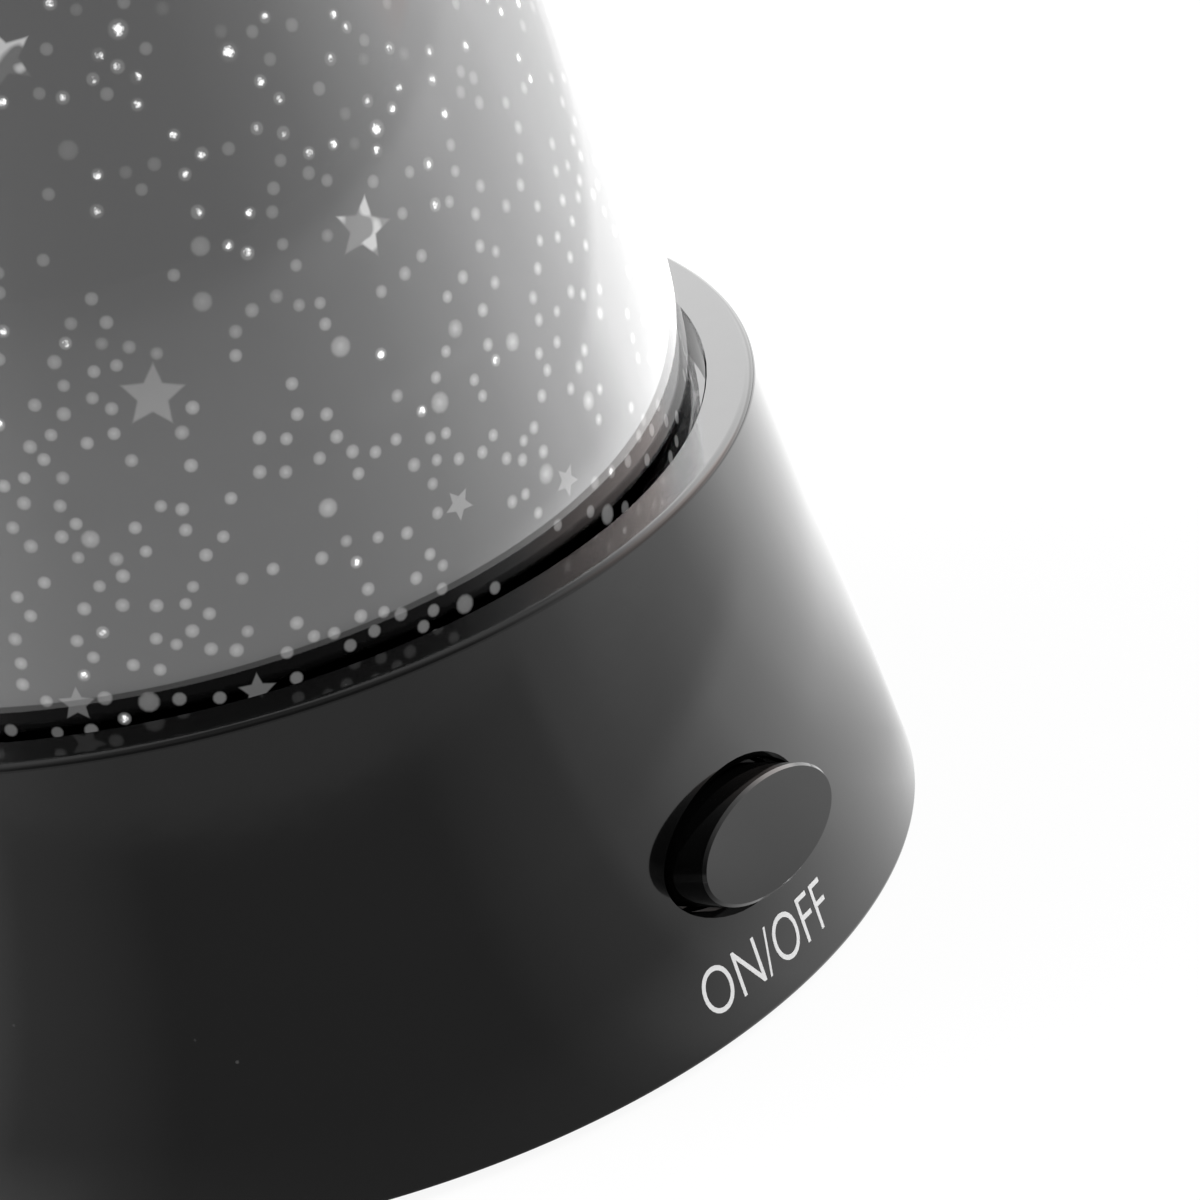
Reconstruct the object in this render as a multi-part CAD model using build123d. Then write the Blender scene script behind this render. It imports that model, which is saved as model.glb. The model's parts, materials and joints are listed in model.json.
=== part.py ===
from build123d import *
from math import asin, atan2, cos, degrees, radians, sin, sqrt
import os

# Star night light projector: a smoked star dome that lifts off a conical base with three push buttons,
# a lamp post inside the dome, four AAA cells and a barrel inlet.
# Millimetres and degrees. +Z is up, the table is z = 0, and the front button faces -Y.

os.makedirs("parts", exist_ok=True)

# ---- driving dimensions ----

past = 1.0                  # how far a cut runs past the face it goes through

# base housing
foot_stand = 1.0            # housing's lower edge above the table
base_radius = 56.0          # outside radius at the lower edge
base_height = 40.5          # lower edge to the flat top ring
rim_radius = 49.8           # outside radius at the top ring
base_wall = 2.2             # conical wall, measured level
rim_round = 0.8             # rounding of the top outer edge
lower_round = 0.5           # rounding of the lower outer edge
ring_width = 4.0            # flat top ring
ring_edge = 0.15            # chamfer of the ring's inner edge
deck_drop = 2.4             # deck below the top ring
deck_thickness = 2.2
collar_height = 4.0         # locating collar for the dome, above the deck
collar_wall = 1.5

# dome
dome_groove = 0.9           # gap between the top ring and the dome
dome_wall = 1.8
dome_side_radius = 200.0    # large arc of the dome's side
dome_foot_lean = 1.0        # lean of the side at the top ring, from vertical
dome_shoulder_lean = 18.0   # lean where the round crown takes over
locating_gap = 0.3          # collar to dome

# push buttons
button_angles = {"on_off": -90.0, "colour": 30.0, "timer": 150.0}
button_height = 14.5        # centre above the housing's lower edge, on the outer wall
button_length = 17.3        # oval cap, level
button_width = 9.0
button_proud = 3.0          # cap in front of the wall
button_edge = 0.25          # chamfer round the cap's face
button_gap = 0.5            # cap to its hole
button_flare = 0.8          # bevel round the hole
button_travel = 1.5
flange_margin = 1.5         # flange beyond the cap, behind the wall
flange_thickness = 1.2
stem_radius = 2.2
stem_length = 1.3

# switches behind the buttons
switch_side = 7.0
switch_depth = 7.0
switch_gap = 0.5            # left between stem and switch at full travel
plunger_radius = 1.6
plunger_fit = 0.05
plunger_reach = 1.6         # plunger inside the switch at rest
switch_board_length = 33.0
switch_board_width = 12.0
switch_boss_spread = 13.6   # from the button's axis to each boss
switch_boss_radius = 2.3

# boards
board_thickness = 1.6
main_board_gap = 2.5        # main board to the switch boards
main_post_height = 2.2      # posts on the battery box roof
main_post_radius = 2.6
main_post_spread = 20.0     # posts at plus and minus this in X and in Y
board_tab_width = 16.0      # tab that carries the power inlet

# lamp post
post_height = 17.0          # top of the post above the deck
post_foot_radius = 12.5
post_wall = 1.6
post_lip = 1.2              # rim round the lamp board
post_flange_margin = 1.0    # flange beyond the bosses
post_flange_thickness = 2.0
post_boss_gap = 0.5         # bosses to the hole in the deck
post_boss_radius = 2.8
post_boss_length = 5.0
post_boss_turns = (-90.0, 30.0, 150.0)
post_running_gap = 0.4      # post to the hole in the deck
lamp_board_gap = 0.2        # board to the rim round it
lamp_board_margin = 1.5     # board beyond the diodes

# light emitting diodes
led_radius = 2.5
led_barrel = 5.1            # straight part, under the round nose
led_flange = 0.4
led_flange_height = 1.0
led_circle = 4.2
led_turns = {"led_warm_white": 45.0, "led_red": 135.0, "led_green": 225.0, "led_blue": 315.0}
led_pin_radius = 0.3
led_pin_spread = 1.27
led_pin_length = 2.6
led_pin_gap = 0.1

# battery box
cell_radius = 5.2           # AAA cell
cell_length = 44.4          # over the raised contact
cell_nub_radius = 1.8
cell_nub_height = 1.1
cell_pitch = 11.0
cell_count = 4
cell_gap = 0.4              # under and over the cells
cell_round = 0.5            # rounding of the sleeve's ends
contact_thickness = 0.4
contact_side = 9.0
contact_dimple = 0.6
spring_room = 3.6
spring_radius = 2.6
spring_wire = 0.3
spring_turns = 3
box_wall = 1.5
box_side_room = 2.6         # beside the outer cells, for the door's hooks
door_thickness = 1.6
door_overlap = 2.3
door_gap = 0.25
door_play = 0.2
door_travel = 7.0
shelf_thickness = 1.2
shelf_width = 2.0           # shelf that the hooks hold, each side
shelf_margin = 1.2
hook_length = 6.0
hook_spread = 14.0
hook_stem = 0.9
hook_lip = 1.2
hook_gap = 0.2
grip_count = 5
grip_pitch = 2.4
grip_width = 1.0
grip_depth = 0.5
grip_length = 16.0

# bottom cover, feet and screws
cover_thickness = 2.2
cover_gap = 0.3
foot_radius = 4.5
foot_inset = 2.0            # feet inside the cover's edge
foot_thickness = 2.0
foot_chamfer = 0.4
foot_gap = 0.1
foot_turns = {"foot_front_left": -120.0, "foot_front_right": -60.0, "foot_rear_right": 40.0,
              "foot_rear_left": 140.0}
screw_turns = (-142.0, -38.0, 62.0, 118.0)
screw_boss_radius = 3.6
screw_boss_gap = 0.7        # bosses to the wall at the deck
seat_height = 2.8           # screw seats above the cover plate
seat_radius = 4.6
head_radius = 2.7
head_height = 1.8
head_sink = 0.8             # heads below the cover's face
shank_radius = 1.3
shank_length = 12.0
small_head_radius = 2.0
small_head_height = 1.2
small_shank_radius = 0.9
small_shank_length = 4.5
tiny_shank_length = 4.6     # through the main board into the short posts
screw_gap = 0.05            # shank to its pilot hole
hole_gap = 0.3              # shank to a clearance hole
screw_spare = 0.5           # small screws end short of their pilot's end
housing_screw_spare = 1.0
head_chamfer = 0.3          # share of the head's height
recess_length = 1.2         # cross recess, shares of the shank's radius
recess_width = 0.25
recess_depth = 0.5          # share of the head's height

# power inlet
inlet_side = 9.0
inlet_height = 10.0
inlet_depth = 13.0
inlet_gap = 0.4             # to the inside of the wall
inlet_overhang = 7.0        # face in front of the board's tab
inlet_bore_radius = 3.1
inlet_bore_depth = 9.5
inlet_pin_radius = 1.0
inlet_pin_tip = 1.0         # pin's tip behind the inlet's face
plug_hole_radius = 4.2

# leads and small parts on the main board
lead_radius = 0.8
battery_lead_radius = 0.5
lead_inset = 2.5            # switch leads inside the main board's edge
lead_below_axis = 2.0
lead_bend = 0.45            # bend's radius as a share of the lead's level run
lead_fit = 0.2
box_gap = 0.25              # least room from the battery box to the switch boards, their screws and leads
lamp_lead_radius = 1.2
lamp_lead_offset = 8.0
socket_size = (8.0, 5.0, 6.0)
chip_size = (9.0, 5.0, 1.6)
chip_place = (-14.0, 4.0)
chip_leg_count = 4          # on each side
chip_leg_reach = 0.5        # legs beyond the chip's body
chip_leg_height = 0.6
chip_lift = 0.2             # body above the board
capacitor_radius = 2.6
capacitor_height = 7.5
capacitor_turn = -110.0
capacitor_gap = 0.8         # outside the lamp post's flange

# ---- sizes that follow ----

ring_z = foot_stand + base_height
deck_z = ring_z - deck_drop
deck_under = deck_z - deck_thickness
ring_inner = rim_radius - ring_width
dome_radius = ring_inner - dome_groove
wall_taper = (base_radius - rim_radius) / base_height
wall_lean = degrees(atan2(base_radius - rim_radius, base_height))


def outside_radius(z):
    return base_radius - wall_taper * (z - foot_stand)


def inside_radius(z):
    return outside_radius(z) - base_wall


door_under = foot_stand
door_top = door_under + door_thickness
shelf_under = door_top + door_play
shelf_top = shelf_under + shelf_thickness
cell_z = door_top + cell_gap + cell_radius
roof_under = cell_z + cell_radius + cell_gap
roof_top = roof_under + box_wall
main_board_z = roof_top + main_post_height
main_board_top = main_board_z + board_thickness
cover_top = foot_stand + cover_thickness
seat_top = cover_top + seat_height

screw_circle = inside_radius(deck_under) - screw_boss_radius - screw_boss_gap
foot_circle = inside_radius(foot_stand) - cover_gap - foot_radius - foot_inset

post_top = deck_z + post_height
post_flange_top = deck_under - post_boss_length
post_boss_circle = post_foot_radius + post_running_gap + post_boss_gap + post_boss_radius
post_flange_radius = post_boss_circle + post_boss_radius + post_flange_margin
lamp_board_top = post_top - post_lip
lamp_board_under = lamp_board_top - board_thickness
lamp_recess_radius = led_circle + led_radius + led_flange + lamp_board_margin
post_head_radius = lamp_recess_radius + post_wall

box_half_x = (cell_count - 1) * cell_pitch / 2 + cell_radius + box_side_room
box_half_y = (cell_length + spring_room + contact_dimple) / 2 + contact_thickness
opening_half_x = box_half_x - shelf_width
door_half_x = box_half_x + 0.5 * box_wall
door_half_y = box_half_y + door_overlap


def polar(radius, turn):
    return radius * cos(radians(turn)), radius * sin(radians(turn))


def rod(radius, low, high, x=0.0, y=0.0):
    return Pos(x, y, low) * Cylinder(radius, high - low, align=(Align.CENTER, Align.CENTER, Align.MIN))


def tube(outer, inner, low, high, x=0.0, y=0.0):
    return rod(outer, low, high, x, y) - rod(inner, low, high, x, y)


def block(low, high):
    size = [b - a for a, b in zip(low, high)]
    return Pos(*low) * Box(*size, align=(Align.MIN, Align.MIN, Align.MIN))


def turned(points):
    return revolve(Plane.XZ * make_face(Polyline(*points, close=True)), Axis.Z)


def oval(length, width, low, high, taper=0.0):
    return Pos(0, 0, low) * extrude(Ellipse(length / 2, width / 2), high - low, taper=taper)


# A frame on the outer wall: z points out of the wall, x is level, y climbs the wall.
def wall_frame(turn, height):
    lean = radians(wall_lean)
    x, y = polar(1.0, turn)
    radius = outside_radius(foot_stand + height)
    return Plane(origin=(radius * x, radius * y, foot_stand + height), x_dir=(-y, x, 0),
                 z_dir=(x * cos(lean), y * cos(lean), sin(lean)))


def button_frame(turn):
    return wall_frame(turn, button_height)


# ---- places in a button's own frame, behind the wall ----

def wall_depth_at(reach):
    radius = inside_radius(foot_stand + button_height)
    sag = radius - sqrt(radius ** 2 - reach ** 2)
    return (base_wall + sag) * cos(radians(wall_lean))


flange_front = -(wall_depth_at(button_length / 2 + flange_margin) + locating_gap)
flange_back = flange_front - flange_thickness
stem_end = flange_back - stem_length
switch_front = stem_end - button_travel - switch_gap
switch_back = switch_front - switch_depth
switch_board_back = switch_back - board_thickness
plunger_end = switch_front - plunger_reach


def radius_behind(depth, climb):
    lean = radians(wall_lean)
    return outside_radius(foot_stand + button_height) + depth * cos(lean) - climb * sin(lean)


main_board_radius = radius_behind(switch_board_back, switch_board_width / 2) - main_board_gap
lead_climb_radius = main_board_radius - lead_inset
lead_start = button_frame(0.0).from_local_coords(Vector(0, -lead_below_axis, switch_board_back))
lead_run = lead_start.X - lead_climb_radius
lead_corner_z = lead_start.Z - lead_run * sin(radians(wall_lean))


# ---- housing ----

def frustum(shrink):
    low, high = foot_stand, ring_z
    points = [(0, low), (base_radius - shrink, low), (rim_radius - shrink, high), (0, high)]
    return turned(points)


def housing_shell():
    shell = frustum(0.0)
    shell = fillet(shell.edges().group_by(Axis.Z)[-1], rim_round)
    shell = fillet(shell.edges().group_by(Axis.Z)[0], lower_round)
    below = foot_stand - past
    shell -= turned([(0, below), (inside_radius(below), below), (inside_radius(deck_under), deck_under),
                     (0, deck_under)])
    above = ring_z + past
    shell -= turned([(0, deck_z), (ring_inner, deck_z), (ring_inner, ring_z - ring_edge),
                     (ring_inner + ring_edge, ring_z), (ring_inner + ring_edge, above), (0, above)])
    collar_outer = dome_radius - dome_wall - locating_gap
    shell += tube(collar_outer, collar_outer - collar_wall, deck_z, deck_z + collar_height)
    return shell - rod(post_foot_radius + post_running_gap, deck_under - past, deck_z + past)


def switch_bosses(turn):
    bosses = Part()
    for side in (-1, 1):
        bosses += rod(switch_boss_radius, switch_back, 0.0, side * switch_boss_spread)
    return button_frame(turn) * bosses


def switch_pilots(turn):
    pilots = Part()
    for side in (-1, 1):
        pilots += rod(small_shank_radius + screw_gap, switch_back - past, switch_back + small_shank_length,
                      side * switch_boss_spread)
    return button_frame(turn) * pilots


def button_hole(turn):
    clear = 2 * button_gap
    deep = oval(button_length + clear, button_width + clear, 3 * flange_front, button_proud)
    rim = button_length + clear, button_width + clear
    bevel = loft([Pos(0, 0, -button_flare) * Ellipse(rim[0] / 2, rim[1] / 2),
                  Pos(0, 0, button_flare) * Ellipse(rim[0] / 2 + 2 * button_flare,
                                                    rim[1] / 2 + 2 * button_flare)])
    return button_frame(turn) * (deep + bevel)


def base_housing():
    shell = housing_shell()
    for turn in screw_turns:
        x, y = polar(screw_circle, turn)
        shell += rod(screw_boss_radius, seat_top, deck_under, x, y)
        shell -= rod(shank_radius + screw_gap, seat_top - past, seat_top + shank_length, x, y)
    for turn in post_boss_turns:
        x, y = polar(post_boss_circle, turn)
        shell += rod(post_boss_radius, deck_under - post_boss_length, deck_under, x, y)
        shell -= rod(small_shank_radius + screw_gap, deck_under - post_boss_length - past,
                     deck_under - post_boss_length + small_shank_length, x, y)
    core = frustum(0.5 * base_wall)
    for turn in button_angles.values():
        shell += switch_bosses(turn) & core
        shell -= button_hole(turn)
        shell -= switch_pilots(turn)
    reach = Plane(origin=(0, 0, inlet_axis_z), z_dir=(0, 1, 0)) * rod(plug_hole_radius, inlet_face_y - past,
                                                                       base_radius)
    return shell - reach


# ---- dome ----

def arc_point(centre, radius, lean):
    return centre[0] + radius * cos(radians(lean)), centre[1] + radius * sin(radians(lean))


def arc_between(centre, radius, first, last):
    middle = (first + last) / 2
    return ThreePointArc(arc_point(centre, radius, first), arc_point(centre, radius, middle),
                         arc_point(centre, radius, last))


def star_dome():
    lean = radians(dome_foot_lean)
    side = dome_radius - dome_side_radius * cos(lean), ring_z - dome_side_radius * sin(lean)
    shoulder = arc_point(side, dome_side_radius, dome_shoulder_lean)
    crown_radius = shoulder[0] / cos(radians(dome_shoulder_lean))
    crown = 0.0, shoulder[1] - crown_radius * sin(radians(dome_shoulder_lean))
    lines = []
    ends = []
    for inset in (0.0, dome_wall):
        radius = dome_side_radius - inset
        foot = degrees(asin((deck_z - side[1]) / radius))
        lines.append(arc_between(side, radius, foot, dome_shoulder_lean))
        lines.append(arc_between(crown, crown_radius - inset, dome_shoulder_lean, 90.0))
        ends.append((arc_point(side, radius, foot), (0.0, crown[1] + crown_radius - inset)))
    lines.append(Line(ends[0][0], ends[1][0]))
    lines.append(Line(ends[0][1], ends[1][1]))
    return revolve(Plane.XZ * make_face(lines), Axis.Z)


# ---- lamp post, its board and its diodes ----

def lamp_post():
    low = post_flange_top - post_flange_thickness
    ledge = lamp_recess_radius - post_wall
    points = [(post_foot_radius - post_wall, low), (post_flange_radius, low),
              (post_flange_radius, post_flange_top), (post_foot_radius, post_flange_top),
              (post_foot_radius, deck_z), (post_head_radius, post_top), (lamp_recess_radius, post_top),
              (lamp_recess_radius, lamp_board_under), (ledge, lamp_board_under),
              (ledge, lamp_board_under - post_wall), (post_foot_radius - post_wall, deck_z)]
    post = turned(points)
    for turn in post_boss_turns:
        x, y = polar(post_boss_circle, turn)
        post -= rod(small_shank_radius + hole_gap, low - past, post_flange_top + past, x, y)
    return post


def led_pin_places(turn):
    x, y = polar(led_circle, turn)
    places = []
    for side in (-1, 1):
        dx, dy = polar(side * led_pin_spread, turn + 90.0)
        places.append((x + dx, y + dy))
    return places


def lamp_board():
    board = rod(lamp_recess_radius - lamp_board_gap, lamp_board_under, lamp_board_top)
    for turn in led_turns.values():
        for x, y in led_pin_places(turn):
            board -= rod(led_pin_radius + led_pin_gap, lamp_board_under - past, lamp_board_top + past, x, y)
    return board


def led(turn):
    x, y = polar(led_circle, turn)
    nose = lamp_board_top + led_barrel
    body = rod(led_radius, lamp_board_top, nose, x, y) + Pos(x, y, nose) * Sphere(led_radius)
    body += rod(led_radius + led_flange, lamp_board_top, lamp_board_top + led_flange_height, x, y)
    for px, py in led_pin_places(turn):
        body += rod(led_pin_radius, lamp_board_top - led_pin_length, lamp_board_top, px, py)
    return body


def bent_wire(points, radius, bend):
    path = FilletPolyline(*points, radius=bend)
    return sweep(Plane(origin=path @ 0, z_dir=path % 0) * Circle(radius), path=path)


def lamp_lead():
    low = main_board_top + socket_size[2]
    high = lamp_board_under - lead_fit
    third = (high - low) / 3
    points = [(0, 0, high), (0, 0, low + 2 * third), (lamp_lead_offset, 0, low + third),
              (lamp_lead_offset, 0, low)]
    return bent_wire(points, lamp_lead_radius, third)


# ---- main board and what it carries ----

inlet_axis_z = main_board_top + inlet_height / 2
inlet_corner = inside_radius(main_board_top + inlet_height)
inlet_face_y = sqrt(inlet_corner ** 2 - (inlet_side / 2) ** 2) - inlet_gap
board_tab_end = inlet_face_y - inlet_overhang


def main_post_places():
    return [(sx * main_post_spread, sy * main_post_spread) for sx in (-1, 1) for sy in (-1, 1)]


def main_board():
    board = rod(main_board_radius, main_board_z, main_board_top)
    board += block((-board_tab_width / 2, 0, main_board_z), (board_tab_width / 2, board_tab_end, main_board_top))
    for x, y in main_post_places():
        board -= rod(small_shank_radius + hole_gap, main_board_z - past, main_board_top + past, x, y)
    return board


def lamp_socket():
    sx, sy, sz = socket_size
    x = lamp_lead_offset
    return block((x - sx / 2, -sy / 2, main_board_top), (x + sx / 2, sy / 2, main_board_top + sz))


def control_chip():
    sx, sy, sz = chip_size
    x, y = chip_place
    chip = block((x - sx / 2, y - sy / 2 + chip_leg_reach, main_board_top + chip_lift),
                 (x + sx / 2, y + sy / 2 - chip_leg_reach, main_board_top + sz))
    leg = sx / (2 * chip_leg_count + 1)
    for count in range(chip_leg_count):
        left = x - sx / 2 + leg * (2 * count + 1)
        chip += block((left, y - sy / 2, main_board_top), (left + leg, y + sy / 2, main_board_top + chip_leg_height))
    return chip


def capacitor():
    x, y = polar(post_flange_radius + capacitor_gap + capacitor_radius, capacitor_turn)
    return rod(capacitor_radius, main_board_top, main_board_top + capacitor_height, x, y)


def power_inlet():
    half = inlet_side / 2
    body = block((-half, inlet_face_y - inlet_depth, main_board_top),
                 (half, inlet_face_y, main_board_top + inlet_height))
    along = Plane(origin=(0, 0, inlet_axis_z), z_dir=(0, 1, 0))
    body -= along * rod(inlet_bore_radius, inlet_face_y - inlet_bore_depth, inlet_face_y + past)
    return body


def inlet_pin():
    along = Plane(origin=(0, 0, inlet_axis_z), z_dir=(0, 1, 0))
    back = inlet_face_y - inlet_bore_depth
    return along * rod(inlet_pin_radius, back, inlet_face_y - inlet_pin_tip)


# ---- buttons and switches ----

def button(turn):
    cap = oval(button_length, button_width, flange_back, button_proud)
    cap = chamfer(cap.edges().group_by(Axis.Z)[-1], button_edge)
    margin = 2 * flange_margin
    cap += oval(button_length + margin, button_width + margin, flange_back, flange_front)
    cap += rod(stem_radius, stem_end, flange_back)
    return button_frame(turn) * cap


def plunger(turn):
    return button_frame(turn) * rod(plunger_radius, plunger_end, stem_end)


def switch(turn):
    half = switch_side / 2
    body = block((-half, -half, switch_back), (half, half, switch_front))
    body -= rod(plunger_radius + plunger_fit, plunger_end - button_travel - switch_gap, switch_front + past)
    return button_frame(turn) * body


def switch_board(turn):
    length, width = switch_board_length / 2, switch_board_width / 2
    board = block((-length, -width, switch_board_back), (length, width, switch_back))
    for side in (-1, 1):
        board -= rod(small_shank_radius + hole_gap, switch_board_back - past, switch_back + past,
                     side * switch_boss_spread)
    return button_frame(turn) * board


def switch_lead(turn):
    points = [(lead_start.X, 0, lead_start.Z), (lead_climb_radius, 0, lead_corner_z),
              (lead_climb_radius, 0, main_board_z)]
    return Rot(0, 0, turn) * bent_wire(points, lead_radius, lead_bend * lead_run)


# ---- battery box ----

def cell_places():
    first = -(cell_count - 1) * cell_pitch / 2
    return [(first + count * cell_pitch, 1 if count % 2 else -1) for count in range(cell_count)]


# Each cell's raised end faces the flat contact, and its flat end the spring; neighbours lie head to tail.
def cell(x, side):
    flat_end = -side * (box_half_y - contact_thickness - spring_room)
    shoulder = flat_end + side * (cell_length - cell_nub_height)
    tip = flat_end + side * cell_length
    along = Plane(origin=(x, 0, cell_z), z_dir=(0, 1, 0))
    body = rod(cell_radius, min(flat_end, shoulder), max(flat_end, shoulder))
    body = fillet(body.edges().filter_by(GeomType.CIRCLE), cell_round)
    body += rod(cell_nub_radius, min(shoulder, tip), max(shoulder, tip))
    return along * body


def contact_plate(x, side):
    half = contact_side / 2
    face = side * (box_half_y - contact_thickness)
    wall = side * box_half_y
    return block((x - half, min(face, wall), cell_z - half), (x + half, max(face, wall), cell_z + half))


def flat_contacts():
    solids = []
    for x, side in cell_places():
        face = side * (box_half_y - contact_thickness)
        tip = face - side * contact_dimple
        along = Plane(origin=(x, 0, cell_z), z_dir=(0, 1, 0))
        dimple = along * rod(cell_nub_radius, min(face, tip), max(face, tip))
        solids.append(contact_plate(x, side) + dimple)
    return Compound(solids)


def spring_plates():
    return Compound([contact_plate(x, -side) for x, side in cell_places()])


def cell_springs():
    solids = []
    height = spring_room - 2 * spring_wire
    for x, side in cell_places():
        face = -side * (box_half_y - contact_thickness)
        line = Helix(pitch=height / spring_turns, height=height, radius=spring_radius)
        coil = sweep(Plane(origin=line @ 0, z_dir=line % 0) * Circle(spring_wire), path=line)
        base = Plane(origin=(x, face + side * spring_wire, cell_z), z_dir=(0, side, 0))
        solids.append(base * coil)
    return Compound(solids)


def lead_places():
    places = []
    for x, side in (cell_places()[0], cell_places()[-1]):
        places.append((x, -side * (box_half_y - battery_lead_radius)))
    return places


def battery_leads():
    low = cell_z + contact_side / 2
    return Compound([rod(battery_lead_radius, low, main_board_z, x, y) for x, y in lead_places()])


# What the battery box leaves free for a switch board, its screws' heads and its lead.
def switch_room(turn):
    length, width = switch_board_length / 2 + box_gap, switch_board_width / 2 + box_gap
    room = block((-length, -width, switch_board_back - box_gap), (length, width, switch_back))
    for side in (-1, 1):
        room += rod(small_head_radius + box_gap, switch_board_back - small_head_height - box_gap, switch_back,
                    side * switch_boss_spread)
    half = lead_radius + box_gap
    inner = lead_climb_radius - half
    lead = Rot(0, 0, turn) * block((inner, -half, lead_corner_z - half), (main_board_radius, half, main_board_z))
    return [button_frame(turn) * room, lead]


def hook_places():
    return [(side, y) for side in (-1, 1) for y in (-hook_spread, hook_spread)]


def bottom_cover():
    under = foot_stand
    edge = inside_radius(under) - cover_gap
    cover = turned([(0, under), (edge, under), (inside_radius(cover_top) - cover_gap, cover_top), (0, cover_top)])
    wall_x, wall_y = box_half_x + box_wall, box_half_y + box_wall
    cover += block((-wall_x, -wall_y, cover_top), (wall_x, wall_y, roof_top))
    margin = door_gap + shelf_margin
    cover += block((-door_half_x - margin, -door_half_y - margin, cover_top),
                   (door_half_x + margin, door_half_y + door_travel + margin, shelf_top))
    cover -= block((-box_half_x, -box_half_y, shelf_top), (box_half_x, box_half_y, roof_under))
    cover -= block((-opening_half_x, -box_half_y, under - past), (opening_half_x, box_half_y, shelf_top))
    cover -= block((-door_half_x - door_gap, -door_half_y - door_gap, under - past),
                   (door_half_x + door_gap, door_half_y + door_travel + door_gap, shelf_under))
    # notches that let the door's hooks drop out once the door has slid
    half = hook_length / 2 + door_gap
    for side, y in hook_places():
        low, high = sorted((side * (opening_half_x - past), side * box_half_x))
        cover -= block((low, y + door_travel - half, shelf_under - past),
                       (high, y + door_travel + half, shelf_top + past))
    for x, y in main_post_places():
        cover += rod(main_post_radius, roof_top, main_board_z, x, y)
        cover -= rod(small_shank_radius + screw_gap, main_board_z - tiny_shank_length + board_thickness,
                     main_board_z + past, x, y)
    for x, y in lead_places():
        cover -= rod(battery_lead_radius + lead_fit, roof_under - past, roof_top + past, x, y)
    for turn in screw_turns:
        x, y = polar(screw_circle, turn)
        cover += rod(seat_radius, cover_top, seat_top, x, y)
        cover -= rod(head_radius + hole_gap, under - past, under + head_sink + head_height, x, y)
        cover -= rod(shank_radius + hole_gap, under, seat_top + past, x, y)
    for turn in button_angles.values():
        for room in switch_room(turn):
            cover -= room
    for turn in foot_turns.values():
        x, y = polar(foot_circle, turn)
        cover -= rod(foot_radius + foot_gap, under - past, foot_thickness, x, y)
    return cover


def battery_door():
    door = block((-door_half_x, -door_half_y, door_under), (door_half_x, door_half_y, door_top))
    lip_under = shelf_top + hook_gap
    for side, y in hook_places():
        inner = opening_half_x - hook_gap - hook_stem
        stem = sorted((side * inner, side * (inner + hook_stem)))
        lip = sorted((side * inner, side * (box_half_x - hook_gap)))
        low, high = y - hook_length / 2, y + hook_length / 2
        door += block((stem[0], low, door_top), (stem[1], high, lip_under))
        door += block((lip[0], low, lip_under), (lip[1], high, lip_under + hook_lip))
    for count in range(grip_count):
        y = -door_half_y + grip_pitch * (count + 2)
        door -= block((-grip_length / 2, y - grip_width / 2, door_under - past),
                      (grip_length / 2, y + grip_width / 2, door_under + grip_depth))
    return door


def rubber_foot(turn):
    x, y = polar(foot_circle, turn)
    foot = rod(foot_radius, 0, foot_thickness, x, y)
    return chamfer(foot.edges().group_by(Axis.Z)[0], foot_chamfer)


# ---- screws: pan heads with a cross recess, shanks upwards from the head ----

def screw(head_r, head_h, shank_r, shank_l):
    body = rod(head_r, 0, head_h) + rod(shank_r, head_h, head_h + shank_l)
    body = chamfer(body.edges().group_by(Axis.Z)[0], head_chamfer * head_h)
    arm, slot = recess_length * shank_r, recess_width * shank_r
    for long_x, long_y in ((arm, slot), (slot, arm)):
        body -= block((-long_x, -long_y, -past), (long_x, long_y, recess_depth * head_h))
    return body


def housing_screws():
    solids = []
    for turn in screw_turns:
        x, y = polar(screw_circle, turn)
        length = shank_length + seat_top - foot_stand - head_sink - head_height - housing_screw_spare
        one = screw(head_radius, head_height, shank_radius, length)
        solids.append(Pos(x, y, foot_stand + head_sink) * one)
    return Compound(solids)


def post_screws():
    solids = []
    for turn in post_boss_turns:
        x, y = polar(post_boss_circle, turn)
        one = screw(small_head_radius, small_head_height, small_shank_radius,
                    post_flange_thickness + small_shank_length - screw_spare)
        solids.append(Pos(x, y, post_flange_top - post_flange_thickness - small_head_height) * one)
    return Compound(solids)


def board_screws():
    one = Rot(180, 0, 0) * screw(small_head_radius, small_head_height, small_shank_radius,
                                 tiny_shank_length - screw_spare)
    top = main_board_top + small_head_height
    return Compound([Pos(x, y, top) * one for x, y in main_post_places()])


def switch_screws(turn):
    one = screw(small_head_radius, small_head_height, small_shank_radius,
                board_thickness + small_shank_length - screw_spare)
    solids = []
    for side in (-1, 1):
        place = Pos(side * switch_boss_spread, 0, switch_board_back - small_head_height)
        solids.append(button_frame(turn) * (place * one))
    return solids


def all_switch_screws():
    solids = []
    for turn in button_angles.values():
        solids += switch_screws(turn)
    return Compound(solids)


# ---- write one file per piece ----

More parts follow.
